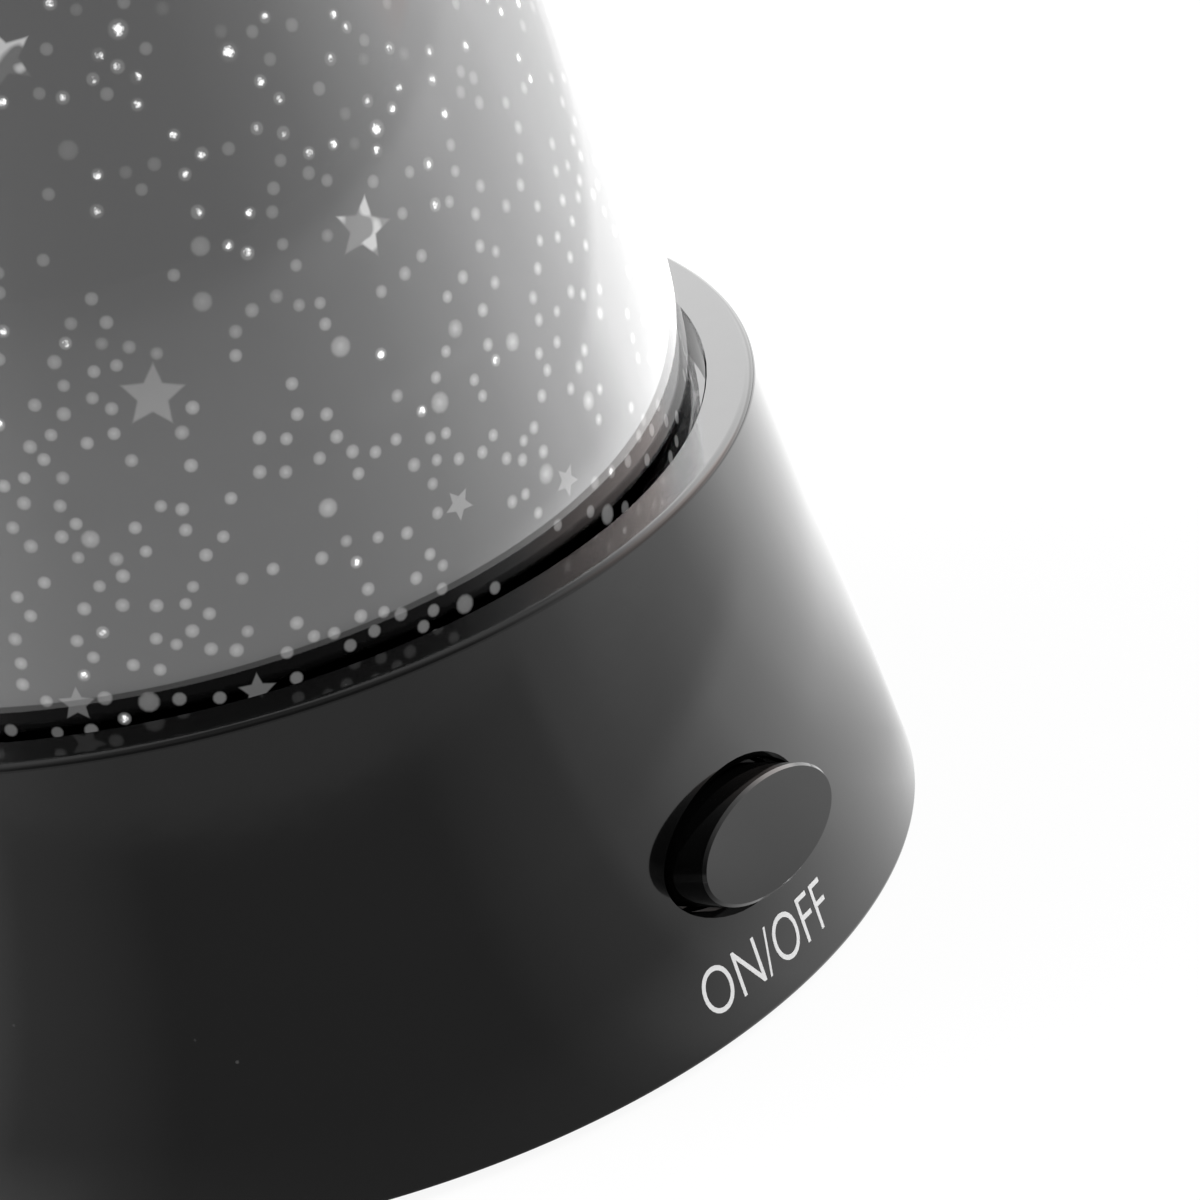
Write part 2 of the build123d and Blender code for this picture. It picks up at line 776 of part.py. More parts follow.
pieces = {
    "base_housing": base_housing(),
    "bottom_cover": bottom_cover(),
    "battery_door": battery_door(),
    "star_dome": star_dome(),
    "lamp_post": lamp_post(),
    "lamp_board": lamp_board(),
    "lamp_lead": lamp_lead(),
    "lamp_socket": lamp_socket(),
    "main_board": main_board(),
    "control_chip": control_chip(),
    "capacitor": capacitor(),
    "power_inlet": power_inlet(),
    "inlet_pin": inlet_pin(),
    "flat_contacts": flat_contacts(),
    "spring_plates": spring_plates(),
    "cell_springs": cell_springs(),
    "battery_leads": battery_leads(),
    "housing_screws": housing_screws(),
    "post_screws": post_screws(),
    "board_screws": board_screws(),
    "switch_screws": all_switch_screws(),
}
for name, turn in led_turns.items():
    pieces[name] = led(turn)
for name, turn in button_angles.items():
    pieces[name + "_button"] = button(turn)
    pieces[name + "_plunger"] = plunger(turn)
    pieces[name + "_switch"] = switch(turn)
    pieces[name + "_switch_board"] = switch_board(turn)
    pieces[name + "_lead"] = switch_lead(turn)
for count, (x, side) in enumerate(cell_places()):
    pieces[f"cell_{count + 1}"] = cell(x, side)
for name, turn in foot_turns.items():
    pieces[name] = rubber_foot(turn)

for name, piece in pieces.items():
    export_step(piece, f"parts/{name}.step")

print(len(pieces), "pieces")
print("dome apex", round(pieces["star_dome"].bounding_box().max.Z, 2), "lean", round(wall_lean, 3))
print("inlet axis", round(inlet_axis_z, 3), "face", round(inlet_face_y, 3))
for name, turn in button_angles.items():
    spot = button_frame(turn)
    print(name, [round(v, 5) for v in spot.origin], [round(v, 6) for v in spot.z_dir])
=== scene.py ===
import json
from collections import namedtuple
from itertools import product
from math import asin, atan2, ceil, cos, degrees, floor, hypot, pi, radians, sin, tau
from random import Random

import bmesh
import bpy
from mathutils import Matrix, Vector
from mathutils.geometry import delaunay_2d_cdt


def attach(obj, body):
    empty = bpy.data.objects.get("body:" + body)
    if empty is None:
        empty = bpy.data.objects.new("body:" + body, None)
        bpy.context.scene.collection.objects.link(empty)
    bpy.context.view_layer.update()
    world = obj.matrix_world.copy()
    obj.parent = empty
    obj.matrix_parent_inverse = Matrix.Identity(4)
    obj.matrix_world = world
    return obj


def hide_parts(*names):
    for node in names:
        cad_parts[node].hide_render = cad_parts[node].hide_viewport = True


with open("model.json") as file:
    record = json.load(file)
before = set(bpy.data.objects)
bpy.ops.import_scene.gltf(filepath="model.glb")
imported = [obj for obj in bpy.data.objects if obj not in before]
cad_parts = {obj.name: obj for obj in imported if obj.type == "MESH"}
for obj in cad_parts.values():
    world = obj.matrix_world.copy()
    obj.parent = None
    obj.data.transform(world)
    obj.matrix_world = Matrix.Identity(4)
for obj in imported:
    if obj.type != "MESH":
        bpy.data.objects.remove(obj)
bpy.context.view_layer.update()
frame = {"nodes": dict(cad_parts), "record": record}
nodes = frame["nodes"]
mm = 0.001
print("frame loaded:", len(nodes), "nodes")


class Wire:
    # one output socket; sums and products of wires add their Math nodes
    def __init__(self, shader, socket):
        self.shader = shader
        self.socket = socket

    def __add__(self, other):
        return self.shader.maths("ADD", self, other)

    def __radd__(self, other):
        return self.shader.maths("ADD", other, self)

    def __sub__(self, other):
        return self.shader.maths("SUBTRACT", self, other)

    def __rsub__(self, other):
        return self.shader.maths("SUBTRACT", other, self)

    def __mul__(self, other):
        return self.shader.maths("MULTIPLY", self, other)

    def __rmul__(self, other):
        return self.shader.maths("MULTIPLY", other, self)


class Shader:
    # the nodes of one material or of the world
    def __init__(self, owner):
        owner.use_nodes = True
        self.owner = owner
        self.tree = owner.node_tree
        self.tree.nodes.clear()

    def node(self, kind, settings=None, sockets=None, output=0):
        made = self.tree.nodes.new(kind)
        for name, value in (settings or {}).items():
            if name == "stops":
                self.setStops(made.color_ramp, value)
            else:
                setattr(made, name, value)
        for key, value in (sockets or {}).items():
            if isinstance(value, Wire):
                self.tree.links.new(value.socket, made.inputs[key])
            elif value is not None:
                made.inputs[key].default_value = value
        return Wire(self, made.outputs[output]) if made.outputs else made

    def setStops(self, ramp, stops):
        while len(ramp.elements) > len(stops):
            ramp.elements.remove(ramp.elements[-1])
        while len(ramp.elements) < len(stops):
            ramp.elements.new(1.0)
        for element, (place, colour) in zip(ramp.elements, stops):
            element.position = place
            element.color = colour if hasattr(colour, "__len__") else (colour, colour, colour, 1.0)

    def place(self, scale=(1.0, 1.0, 1.0)):
        coordinates = self.node("ShaderNodeTexCoord", output="Object")
        return self.node("ShaderNodeMapping", None, {"Vector": coordinates, "Scale": scale})

    def noise(self, scale, detail=2.0, where=None):
        sockets = {"Vector": where or self.place(), "Scale": scale, "Detail": detail}
        return self.node("ShaderNodeTexNoise", None, sockets)

    def drift(self, least, spread, scale, detail=2.0):
        # a value that wanders over the surface
        return least + spread * self.noise(scale, detail)

    def maths(self, operation, first, second):
        return self.node("ShaderNodeMath", {"operation": operation}, {0: first, 1: second})

    def vector(self, operation, first, second=None, output="Vector"):
        return self.node("ShaderNodeVectorMath", {"operation": operation}, {0: first, 1: second}, output)

    def dot(self, first, second):
        return self.vector("DOT_PRODUCT", first, second, "Value")

    def rise(self, value, low, high):
        # 0 below low, 1 above high
        return self.ramp(value, [(low, 0.0), (high, 1.0)])

    def attribute(self, name):
        return self.node("ShaderNodeAttribute", {"attribute_name": name}, output="Fac")

    def ramp(self, value, stops):
        return self.node("ShaderNodeValToRGB", {"stops": stops}, {"Fac": value})

    def mixColour(self, share, first, second):
        # sockets 0, 6, 7 and output 2 are the Mix node's factor and colours
        return self.node("ShaderNodeMix", {"data_type": "RGBA"}, {0: share, 6: first, 7: second}, output=2)

    def bump(self, height, strength, distance, normal=None):
        sockets = {"Height": height, "Strength": strength, "Distance": distance, "Normal": normal}
        return self.node("ShaderNodeBump", None, sockets)


def newShader(name):
    return Shader(bpy.data.materials.new(name))


def rgb(red, green=None, blue=None):
    return (red, red if green is None else green, red if blue is None else blue, 1.0)


def mixed(first, second, share):
    return first + (second - first) * share


def newObject(name, data):
    made = bpy.data.objects.new(name, data)
    bpy.context.scene.collection.objects.link(made)
    return made


def newPiece(name, vertices, faces, materials):
    mesh = bpy.data.meshes.new(name)
    mesh.from_pydata(vertices, [], faces)
    mesh.polygons.foreach_set("use_smooth", [True] * len(mesh.polygons))
    for material in materials:
        mesh.materials.append(material)
    return newObject(name, mesh)


camera = {"location": (-0.35667, -0.370117, 0.267708), "turn": (63.73624, 11.60731, -53.28488),
          "lens": 203.25, "sensor": 36.0, "clip": (0.01, 50.0)}


def makeCamera():
    data = bpy.data.cameras.new("camera")
    made = newObject("camera", data)
    made.location = camera["location"]
    made.rotation_euler = [radians(turn) for turn in camera["turn"]]
    data.lens = camera["lens"]
    data.sensor_width = camera["sensor"]
    data.clip_start, data.clip_end = camera["clip"]
    bpy.context.scene.camera = made


# stage: pale floor, a dark room at the front left and light at the back and right; the ramps run from the
# dim side, 0, to the bright side, 1
studio = {
    "floorSide": 12.0,
    "floorColour": 0.9,
    "whiteShare": 0.92,                  # how much of the floor's white is its own, the rest shows the shadow
    "brightSide": 50.6,                  # azimuth that the light comes from
    "glowScale": 5.0,                    # strongest glow that a ramp can give
    "low": [(0.0, 0.37), (0.04, 0.385), (0.117, 0.47), (0.147, 0.5), (0.243, 0.69), (0.281, 0.76),
            (0.387, 1.05), (0.439, 1.12), (0.544, 1.35), (0.6, 1.5), (1.0, 1.55)],
    "horizon": [(0.0, 0.9), (0.55, 0.9), (0.8, 1.8)],                  # multiplies low over the floor's edge
    "high": [(0.0, 0.08), (0.06, 0.1), (0.159, 0.16), (0.297, 0.57), (0.448, 1.3), (0.61, 2.5), (0.78, 4.5),
             (1.0, 3.8)],
    "highFrom": (0.26, 0.36),            # rise of the direction where the upper room takes over
    "zenith": [(0.0, 0.22), (0.1, 0.28), (0.17, 0.36), (0.3, 0.55), (0.4, 0.7), (1.0, 0.7)],
    "zenithFrom": (0.6, 0.85),
    "ambient": 0.3,                      # light of the room on matt surfaces
    "warm": {"azimuth": -32.0, "elevation": 20.0, "from": (0.86, 0.95), "colour": (1.0, 0.9, 0.87)},
    # the floor as gloss shows it from steeply above: low, dimmer far out, and a bright sheet at the right
    "dimmer": {"near": 1.05, "by": 0.1, "reach": (0.25, 0.7)},
    "sheet": {"through": (0.201, -0.0959), "turn": 29.2, "past": -0.008, "soft": 0.008, "glow": 0.5,
              "side": (0.42, 0.58)},
    # seen flat or from close by, as by the housing, with a dimmer patch near the front left
    "flat": [(0.0, 0.38), (0.04, 0.38), (0.08, 0.44), (0.125, 0.55), (0.162, 0.63), (0.2, 0.75), (0.24, 0.97),
             (0.31, 1.27), (0.35, 1.5), (0.43, 1.6), (0.48, 1.78), (0.54, 1.85), (0.65, 2.2), (1.0, 2.2)],
    "flatView": {"close": (0.14, 0.155), "facing": (0.765, 0.795), "far": (0.32, 0.38), "nearer": 0.25,
                 "nearerTo": 0.7},
    "dimPatch": {"reach": (0.243, 0.267), "cut": 0.55,
                 "side": [(0.0, 1.0), (0.035, 1.0), (0.053, 0.7), (0.08, 0.5), (0.13, 0.55), (0.155, 0.0)]},
    "atFoot": {"reach": (0.062, 0.095),
               "glow": [(0.0, 0.2), (0.038, 0.29), (0.064, 0.45), (0.087, 0.72), (0.114, 0.9), (0.149, 1.15),
                        (0.2, 1.22), (0.26, 1.32), (0.33, 1.4), (0.4, 1.4), (0.48, 1.12), (0.54, 1.14),
                        (0.65, 1.32), (1.0, 1.32)]},
}


def aimed(azimuth, elevation=0.0):
    azimuth, elevation = radians(azimuth), radians(elevation)
    return (cos(elevation) * cos(azimuth), cos(elevation) * sin(azimuth), sin(elevation))


def sideShare(shader, direction):
    # 0 on the dim side, 1 on the bright side
    return 0.5 * shader.dot(shader.vector("NORMALIZE", direction), aimed(studio["brightSide"])) + 0.5


def sideGlow(shader, side, stops):
    scale = studio["glowScale"]
    return shader.ramp(side, [(place, value / scale) for place, value in stops]) * scale


def rayKinds(shader):
    names = ("Is Camera Ray", "Is Glossy Ray", "Is Transmission Ray")
    return [shader.node("ShaderNodeLightPath", output=name) for name in names]


def makeWorld():
    world = bpy.data.worlds.new("studio")
    bpy.context.scene.world = world
    shader = Shader(world)
    direction = shader.node("ShaderNodeTexCoord", output="Generated")
    side = sideShare(shader, shader.vector("MULTIPLY", direction, (1.0, 1.0, 0.0)))
    names = ("low", "horizon", "high", "zenith")
    low, horizon, high, zenith = (sideGlow(shader, side, studio[name]) for name in names)
    up = shader.dot(direction, (0.0, 0.0, 1.0))
    toHigh, toZenith = (shader.rise(up, *studio[name]) for name in ("highFrom", "zenithFrom"))
    glow = low * horizon * (1.0 - toHigh) + high * toHigh
    glow = glow * (1.0 - toZenith) + zenith * toZenith
    isCamera, isGlossy, isThrough = rayKinds(shader)
    diffuseOnly = 1.0 - isCamera - isGlossy - isThrough
    strength = isCamera + isThrough + isGlossy * glow + diffuseOnly * studio["ambient"]
    warm = studio["warm"]
    isWarm = shader.rise(shader.dot(direction, aimed(warm["azimuth"], warm["elevation"])), *warm["from"])
    colour = shader.mixColour(isGlossy * isWarm, rgb(1.0), rgb(*warm["colour"]))
    background = shader.node("ShaderNodeBackground", None, {"Color": colour, "Strength": strength})
    shader.node("ShaderNodeOutputWorld", None, {"Surface": background})


def floorGlow(shader):
    where = shader.node("ShaderNodeTexCoord", output="Object")
    reach = shader.vector("LENGTH", where, output="Value")
    side = sideShare(shader, where)
    names = ("dimmer", "sheet", "flatView", "dimPatch", "atFoot")
    dimmer, sheet, view, patch, foot = (studio[name] for name in names)
    fromSheet = shader.vector("SUBTRACT", where, (*sheet["through"], 0.0))
    past = shader.dot(fromSheet, aimed(sheet["turn"] + 90.0)) - sheet["past"] + 0.5
    onSheet = shader.rise(past, 0.5 - sheet["soft"], 0.5 + sheet["soft"])
    onSheet = onSheet * shader.rise(side, *sheet["side"])
    fading = dimmer["near"] - dimmer["by"] * shader.rise(reach, *dimmer["reach"])
    steep = sideGlow(shader, side, studio["low"]) * fading + sheet["glow"] * onSheet
    inPatch = (1.0 - shader.rise(reach, *patch["reach"])) * shader.ramp(side, patch["side"])
    byFoot = 1.0 - shader.rise(reach, *foot["reach"])
    flat = sideGlow(shader, side, studio["flat"]) * (1.0 - patch["cut"] * inPatch)
    flat = flat * (1.0 - byFoot) + sideGlow(shader, side, foot["glow"]) * byFoot
    facing = shader.node("ShaderNodeLayerWeight", None, {"Blend": 0.5}, output="Facing")
    farReach = reach + view["nearer"] * shader.maths("MINIMUM", side, view["nearerTo"])
    isFlat = shader.rise(facing, *view["facing"]) * (1.0 - shader.rise(farReach, *view["far"]))
    isFlat = shader.maths("MAXIMUM", 1.0 - shader.rise(reach, *view["close"]), isFlat)
    return steep * (1.0 - isFlat) + flat * isFlat


def makeFloor():
    bpy.ops.mesh.primitive_plane_add(size=studio["floorSide"])
    floorPlane = bpy.context.object
    floorPlane.name = "floor"
    shader = newShader("paleFloor")
    isCamera, isGlossy, isThrough = rayKinds(shader)
    strength = isCamera + isThrough + isGlossy * floorGlow(shader)
    white = shader.node("ShaderNodeEmission", None, {"Color": rgb(1.0), "Strength": strength})
    paint = shader.node("ShaderNodeBsdfDiffuse", None, {"Color": rgb(studio["floorColour"])})
    share = (isCamera + isGlossy + isThrough) * studio["whiteShare"]
    both = shader.node("ShaderNodeMixShader", None, {0: share, 1: paint, 2: white})
    shader.node("ShaderNodeOutputMaterial", None, {"Surface": both})
    floorPlane.data.materials.append(shader.owner)


lampTarget = Vector((0.0, 0.0, 0.05))
lamps = [
    {"name": "keyLamp", "location": (0.642, -1.085, 0.985), "size": 0.9, "power": 30.0},
    {"name": "backLamp", "location": (-0.75, 0.95, 1.2), "size": 1.0, "power": 14.0},
]


def makeLamps():
    for lamp in lamps:
        data = bpy.data.lights.new(lamp["name"], "AREA")
        data.size = lamp["size"]
        data.energy = lamp["power"]
        made = newObject(lamp["name"], data)
        made.location = lamp["location"]
        made.rotation_euler = (lampTarget - made.location).to_track_quat("-Z", "Y").to_euler()
        made.visible_glossy = False


makeCamera()
makeWorld()
makeFloor()
makeLamps()
print("stage ready")


def principled(shader, **sockets):
    names = {"base": "Base Color", "rough": "Roughness", "metal": "Metallic", "alpha": "Alpha", "ior": "IOR",
             "normal": "Normal", "glow": "Emission Color", "glowStrength": "Emission Strength"}
    sockets = {names[key]: value for key, value in sockets.items()}
    made = shader.node("ShaderNodeBsdfPrincipled", None, sockets)
    shader.node("ShaderNodeOutputMaterial", None, {"Surface": made})
    return shader.owner


plasticIor = 1.5

# "rough" rows hold the least, the spread, and the scale and detail of the noise between
glossPlastic = {"colour": 0.0015, "ior": 1.6, "rough": (0.05, 0.05, 35.0, 4.0),
                "dust": 0.05, "dustScale": 260.0, "dustSize": (0.035, 0.05), "dustCloud": 90.0,
                "dustFrom": (0.58, 0.66), "peel": (420.0, 1.0), "peelStrength": 0.02, "peelDepth": 0.0002,
                "wave": (80.0, 0.0)}         # scale and detail


def blackGloss(name, wave):
    # a fine peel and a little dust in places; wave is the depth of broad waves
    gloss = glossPlastic
    shader = newShader(name)
    cells = {"Vector": shader.place(), "Scale": gloss["dustScale"]}
    specks = shader.rise(shader.node("ShaderNodeTexVoronoi", {"feature": "F1"}, cells), *gloss["dustSize"])
    dust = (1.0 - specks) * shader.rise(shader.noise(gloss["dustCloud"]), *gloss["dustFrom"])
    base = shader.mixColour(dust, rgb(gloss["colour"]), rgb(gloss["dust"]))
    normal = shader.bump(shader.noise(*gloss["peel"]), gloss["peelStrength"], gloss["peelDepth"])
    if wave:
        normal = shader.bump(shader.noise(*gloss["wave"]), 1.0, wave, normal)
    return principled(shader, base=base, rough=shader.drift(*gloss["rough"]), normal=normal, ior=gloss["ior"])


# by the record's slot: colour, worn colour, roughness, grain and its depth
mouldedKinds = {
    "satin_black": (rgb(0.012), rgb(0.018), 0.5, 2600.0, 0.00006),
    "component_black": (rgb(0.015), rgb(0.025), 0.45, 3000.0, 0.00004),
    "foot_rubber": (rgb(0.018), rgb(0.03), 0.75, 1800.0, 0.0001),
    "connector_white": (rgb(0.75, 0.74, 0.7), rgb(0.7, 0.68, 0.62), 0.4, 2000.0, 0.00003),
    "legend_print": (rgb(0.56), rgb(0.5), 0.55, 2500.0, 0.00001),
    "plunger_white": (rgb(0.7), rgb(0.64), 0.35, 2000.0, 0.00003),
    "lead_jacket": (rgb(0.35, 0.02, 0.015), rgb(0.42, 0.03, 0.02), 0.4, 1500.0, 0.00005),
}
mouldedLook = {"wearScale": 60.0, "detail": 3.0, "roughSpread": 0.16, "grainStrength": 0.35}


def moulded(name, colour, wornColour, rough, grain, depth):
    look = mouldedLook
    shader = newShader(name)
    normal = shader.bump(shader.noise(grain, look["detail"]), look["grainStrength"], depth)
    worn = shader.noise(look["wearScale"], look["detail"])
    rough = rough + look["roughSpread"] * (worn - 0.5)
    base = shader.mixColour(worn, colour, wornColour)
    return principled(shader, base=base, rough=rough, normal=normal, ior=plasticIor)


brushing = {"scale": 900.0, "detail": 3.0, "stretch": (1.0, 1.0, 6.0), "dark": 0.8, "roughSpread": 0.14,
            "strength": 0.1, "depth": 0.00005}


def metal(name, colour, rough):
    shader = newShader(name)
    brushed = shader.noise(brushing["scale"], brushing["detail"], shader.place(brushing["stretch"]))
    base = shader.mixColour(brushed, colour, rgb(*[brushing["dark"] * part for part in colour[:3]]))
    rough = rough + brushing["roughSpread"] * (brushed - 0.5)
    normal = shader.bump(brushed, brushing["strength"], brushing["depth"])
    return principled(shader, base=base, rough=rough, metal=1.0, normal=normal)


board = {"mask": rgb(0.008, 0.11, 0.03), "track": rgb(0.03, 0.22, 0.06), "trackScale": 260.0,
         "trackWidth": (0.08, 0.12), "rough": 0.35, "trackRough": 0.1, "strength": 0.3, "depth": 0.00004}


def circuitBoard():
    # solder mask over square tracks
    shader = newShader("circuitBoard")
    cells = shader.node("ShaderNodeTexVoronoi", {"feature": "DISTANCE_TO_EDGE", "distance": "MANHATTAN"},
                        {"Vector": shader.place(), "Scale": board["trackScale"]})
    track = 1.0 - shader.rise(cells, *board["trackWidth"])
    base = shader.mixColour(track, board["mask"], board["track"])
    normal = shader.bump(track, board["strength"], board["depth"])
    rough = board["rough"] + board["trackRough"] * track
    return principled(shader, base=base, rough=rough, normal=normal, ior=plasticIor)


lensColours = {"led_warm": (0.9, 0.78, 0.45), "led_red": (0.7, 0.02, 0.02), "led_green": (0.03, 0.55, 0.08),
               "led_blue": (0.03, 0.1, 0.75)}
lensLook = {"cloudScale": 300.0, "brighter": 1.25, "rough": 0.1, "roughSpread": 0.1, "glow": 0.05}


def lens(name, colour):
    look = lensLook
    shader = newShader(name)
    cloud = shader.noise(look["cloudScale"])
    base = shader.mixColour(cloud, rgb(*colour), rgb(*[min(1.0, look["brighter"] * part) for part in colour]))
    return principled(shader, base=base, rough=look["rough"] + look["roughSpread"] * cloud, glow=rgb(*colour),
                      glowStrength=look["glow"], ior=plasticIor)


# bands of a cell's sleeve along Y, as shares of the span
sleeve = {"span": 0.05, "copper": rgb(0.5, 0.26, 0.09), "body": rgb(0.02), "end": rgb(0.6), "copperTo": 0.24,
          "endFrom": 0.92, "soft": 0.01, "rough": (0.25, 0.15, 200.0), "metal": 0.4}


def cellSleeve():
    shader = newShader("cellSleeve")
    along = shader.node("ShaderNodeSeparateXYZ", None, {0: shader.place()}, output="Y")
    copper, body, end = sleeve["copper"], sleeve["body"], sleeve["end"]
    first, last, soft = sleeve["copperTo"], sleeve["endFrom"], sleeve["soft"]
    stops = [(0.0, copper), (first, copper), (first + soft, body), (last, body), (last + soft, end)]
    band = shader.ramp(along * (1.0 / sleeve["span"]) + 0.5, stops)
    rough = shader.drift(*sleeve["rough"])
    return principled(shader, base=band, rough=rough, metal=sleeve["metal"], ior=plasticIor)


# by the record's slot
finishes = {
    "black_housing": blackGloss("blackGloss", 0.0),
    "button_cap": blackGloss("buttonGloss", 0.0006),
    "circuit_board": circuitBoard(),
    "cell_sleeve": cellSleeve(),
    "plated_contact": metal("platedContact", rgb(0.62, 0.6, 0.55), 0.3),
    "screw_steel": metal("screwSteel", rgb(0.45, 0.45, 0.46), 0.32),
}
finishes.update({name: moulded(name, *values) for name, values in mouldedKinds.items()})
finishes.update({name: lens(name, colour) for name, colour in lensColours.items()})
satinNodes = ("bottom_cover", "battery_door")       # of the housing's plastic, but moulded without the gloss


def dressNodes():
    for part in frame["record"]["subparts"]:
        slot = "satin_black" if part["node"] in satinNodes else part["material_slot"]
        if slot in finishes:
            materials = nodes[part["node"]].data.materials
            materials.clear()
            materials.append(finishes[slot])


dressNodes()
print("nodes dressed")


def spun(radius, height, azimuth):
    return Vector((radius * cos(azimuth), radius * sin(azimuth), height))


def turned(azimuth, lean):
    return spun(cos(lean), sin(lean), azimuth)


# base housing: the node's mesh, with its wall, roundings and ring laid anew in fine even steps
housing = {
    "footRadius": 56.0, "rimRadius": 49.8, "low": 1.0, "high": 41.5, "rimRound": 0.8, "lowerRound": 0.5,
    "ringInner": 45.95,
    "turns": 360, "wallRows": 12, "lowerRows": 5, "rimRows": 8, "ringRows": 2,
    "clear": 0.5,                        # new points stay this far from an opening's edge
    "mapRadius": 130.0, "spread": 10.0,  # the outline is laid flat as a ring, with its roundings spread out
    "weld": 2e-6, "flatWeld": 1e-6, "footSlack": 0.001,
}


class HousingLine:
    # outline of the housing in millimetres: u runs from under the lower edge up the wall and over the ring
    def __init__(self):
        self.lean = atan2(housing["footRadius"] - housing["rimRadius"], housing["high"] - housing["low"])
        self.out, self.rise = cos(self.lean), sin(self.lean)
        self.reach = housing["footRadius"] * self.out + housing["low"] * self.rise
        self.low = self.roundCentre(housing["lowerRound"], housing["low"] + housing["lowerRound"])
        self.top = self.roundCentre(housing["rimRound"], housing["high"] - housing["rimRound"])
        self.wallFoot = self.onRound(self.low, housing["lowerRound"], self.lean)
        wallTop = self.onRound(self.top, housing["rimRound"], self.lean)
        self.wallStart = housing["lowerRound"] * (pi / 2 + self.lean)
        self.wallEnd = self.wallStart + hypot(wallTop[0] - self.wallFoot[0], wallTop[1] - self.wallFoot[1])
        self.ringStart = self.wallEnd + housing["rimRound"] * (pi / 2 - self.lean)
        self.length = self.ringStart + self.top[0] - housing["ringInner"]

    def roundCentre(self, size, height):
        return (self.reach - size - self.rise * height) / self.out, height

    def onRound(self, centre, size, turn):
        return centre[0] + size * cos(turn), centre[1] + size * sin(turn)

    def at(self, u):
        # radius, height and lean of the normal
        if u < self.wallStart:
            turn = u / housing["lowerRound"] - pi / 2
            return *self.onRound(self.low, housing["lowerRound"], turn), turn
        if u <= self.wallEnd:
            climb = u - self.wallStart
            return self.wallFoot[0] - self.rise * climb, self.wallFoot[1] + self.out * climb, self.lean
        if u < self.ringStart:
            turn = self.lean + (u - self.wallEnd) / housing["rimRound"]
            return *self.onRound(self.top, housing["rimRound"], turn), turn
        return self.top[0] - (u - self.ringStart), housing["high"], pi / 2

    def find(self, radius, height, slack=0.005, turnSlack=0.01):
        # u of a point on the outline, or None
        climb = (height - self.wallFoot[1]) / self.out
        if abs(radius * self.out + height * self.rise - self.reach) < slack:
            if -slack < climb < self.wallEnd - self.wallStart + slack:
                return self.wallStart + climb
        isOnRing = housing["ringInner"] - slack < radius < self.top[0] + slack
        if isOnRing and abs(height - housing["high"]) < slack:
            return self.ringStart + self.top[0] - radius
        rounds = ((self.low, housing["lowerRound"], 0.0, -pi / 2, self.lean),
                  (self.top, housing["rimRound"], self.wallEnd, self.lean, pi / 2))
        for centre, size, start, first, last in rounds:
            turn = atan2(height - centre[1], radius - centre[0])
            isOn = abs(hypot(radius - centre[0], height - centre[1]) - size) < slack
            if isOn and first - turnSlack < turn < last + turnSlack:
                return start + size * (turn - first)
        return None

    def rows(self):
        parts = ((0.0, self.wallStart, "lowerRows"), (self.wallStart, self.wallEnd, "wallRows"),
                 (self.wallEnd, self.ringStart, "rimRows"), (self.ringStart, self.length, "ringRows"))
        found = []
        for first, last, name in parts:
            found += [first + (last - first) * i / housing[name] for i in range(housing[name])]
        return found[1:]


housingLine = HousingLine()


def toMap(azimuth, u):
    line = housingLine
    inRound = min(u, line.wallStart) + min(max(u - line.wallEnd, 0.0), line.ringStart - line.wallEnd)
    reach = housing["mapRadius"] - u - (housing["spread"] - 1.0) * inRound
    return Vector((reach * cos(azimuth), reach * sin(azimuth)))


def isAround(loop, point):
    inside = False
    for a, b in zip(loop, loop[1:] + loop[:1]):
        if (a.y > point.y) != (b.y > point.y):
            if point.x < a.x + (b.x - a.x) * (point.y - a.y) / (b.y - a.y):
                inside = not inside
    return inside


def weldedIndices(mesh):
    shape = bmesh.new()
    shape.from_mesh(mesh)
    shape.verts.ensure_lookup_table()
    weld = list(range(len(shape.verts)))
    doubles = bmesh.ops.find_doubles(shape, verts=shape.verts, dist=housing["weld"])
    for vertex, target in doubles["targetmap"].items():
        weld[vertex.index] = target.index
    shape.free()
    return weld


def boundaryLoops(edges):
    # edges run one way round the faces they come from; those without a partner make the loops
    after = {a: b for a, b in edges if (b, a) not in edges}
    loops = []
    while after:
        start = next(iter(after))
        loop = [start]
        step = after.pop(start)
        while step != start:
            loop.append(step)
            step = after.pop(step)
        loops.append(loop)
    return loops


def isClear(hole, point):
    return not isAround(hole, point) and min((p - point).length for p in hole) >= housing["clear"]


def housingGrid(holes):
    # even points over the outline, clear of the holes; a hole that is out of reach isn't looked at
    rounds = []
    for hole in holes:
        middle = sum(hole, Vector((0.0, 0.0))) / len(hole)
        rounds.append((hole, middle, housing["clear"] + max((p - middle).length for p in hole)))
    points = []
    for u in housingLine.rows():
        for turn in range(housing["turns"]):
            azimuth = tau * turn / housing["turns"] - pi
            point = toMap(azimuth, u)
            near = [hole for hole, middle, reach in rounds if (point - middle).length < reach]
            if all(isClear(hole, point) for hole in near):
                points.append((azimuth, u))
    return points


def outlinePlaces(data, weld):
    # azimuth and u of each vertex that lies on the outline, None for the others
    places = {}
    for i in set(weld):
        point = data.vertices[i].co / mm
        u = housingLine.find(hypot(point.x, point.y), point.z)
        places[i] = None if u is None else (atan2(point.y, point.x), u)
    return places


def splitFaces(data, weld, places):
    # the faces that stay, with their corners' normals, and the edges of those that are laid anew
    oldNormals = [corner.vector.copy() for corner in data.corner_normals]
    faces, normals, edges = [], [], set()
    for face in data.polygons:
        corners = [weld[i] for i in face.vertices]
        if len(set(corners)) < 3:
            continue
        where = [places[i] for i in corners]
        if all(where) and max(u for azimuth, u in where) > housing["footSlack"]:
            edges.update(zip(corners, corners[1:] + corners[:1]))
        else:
            faces.append(corners)
            normals += [oldNormals[loop] for loop in face.loop_indices]
    return faces, normals, edges


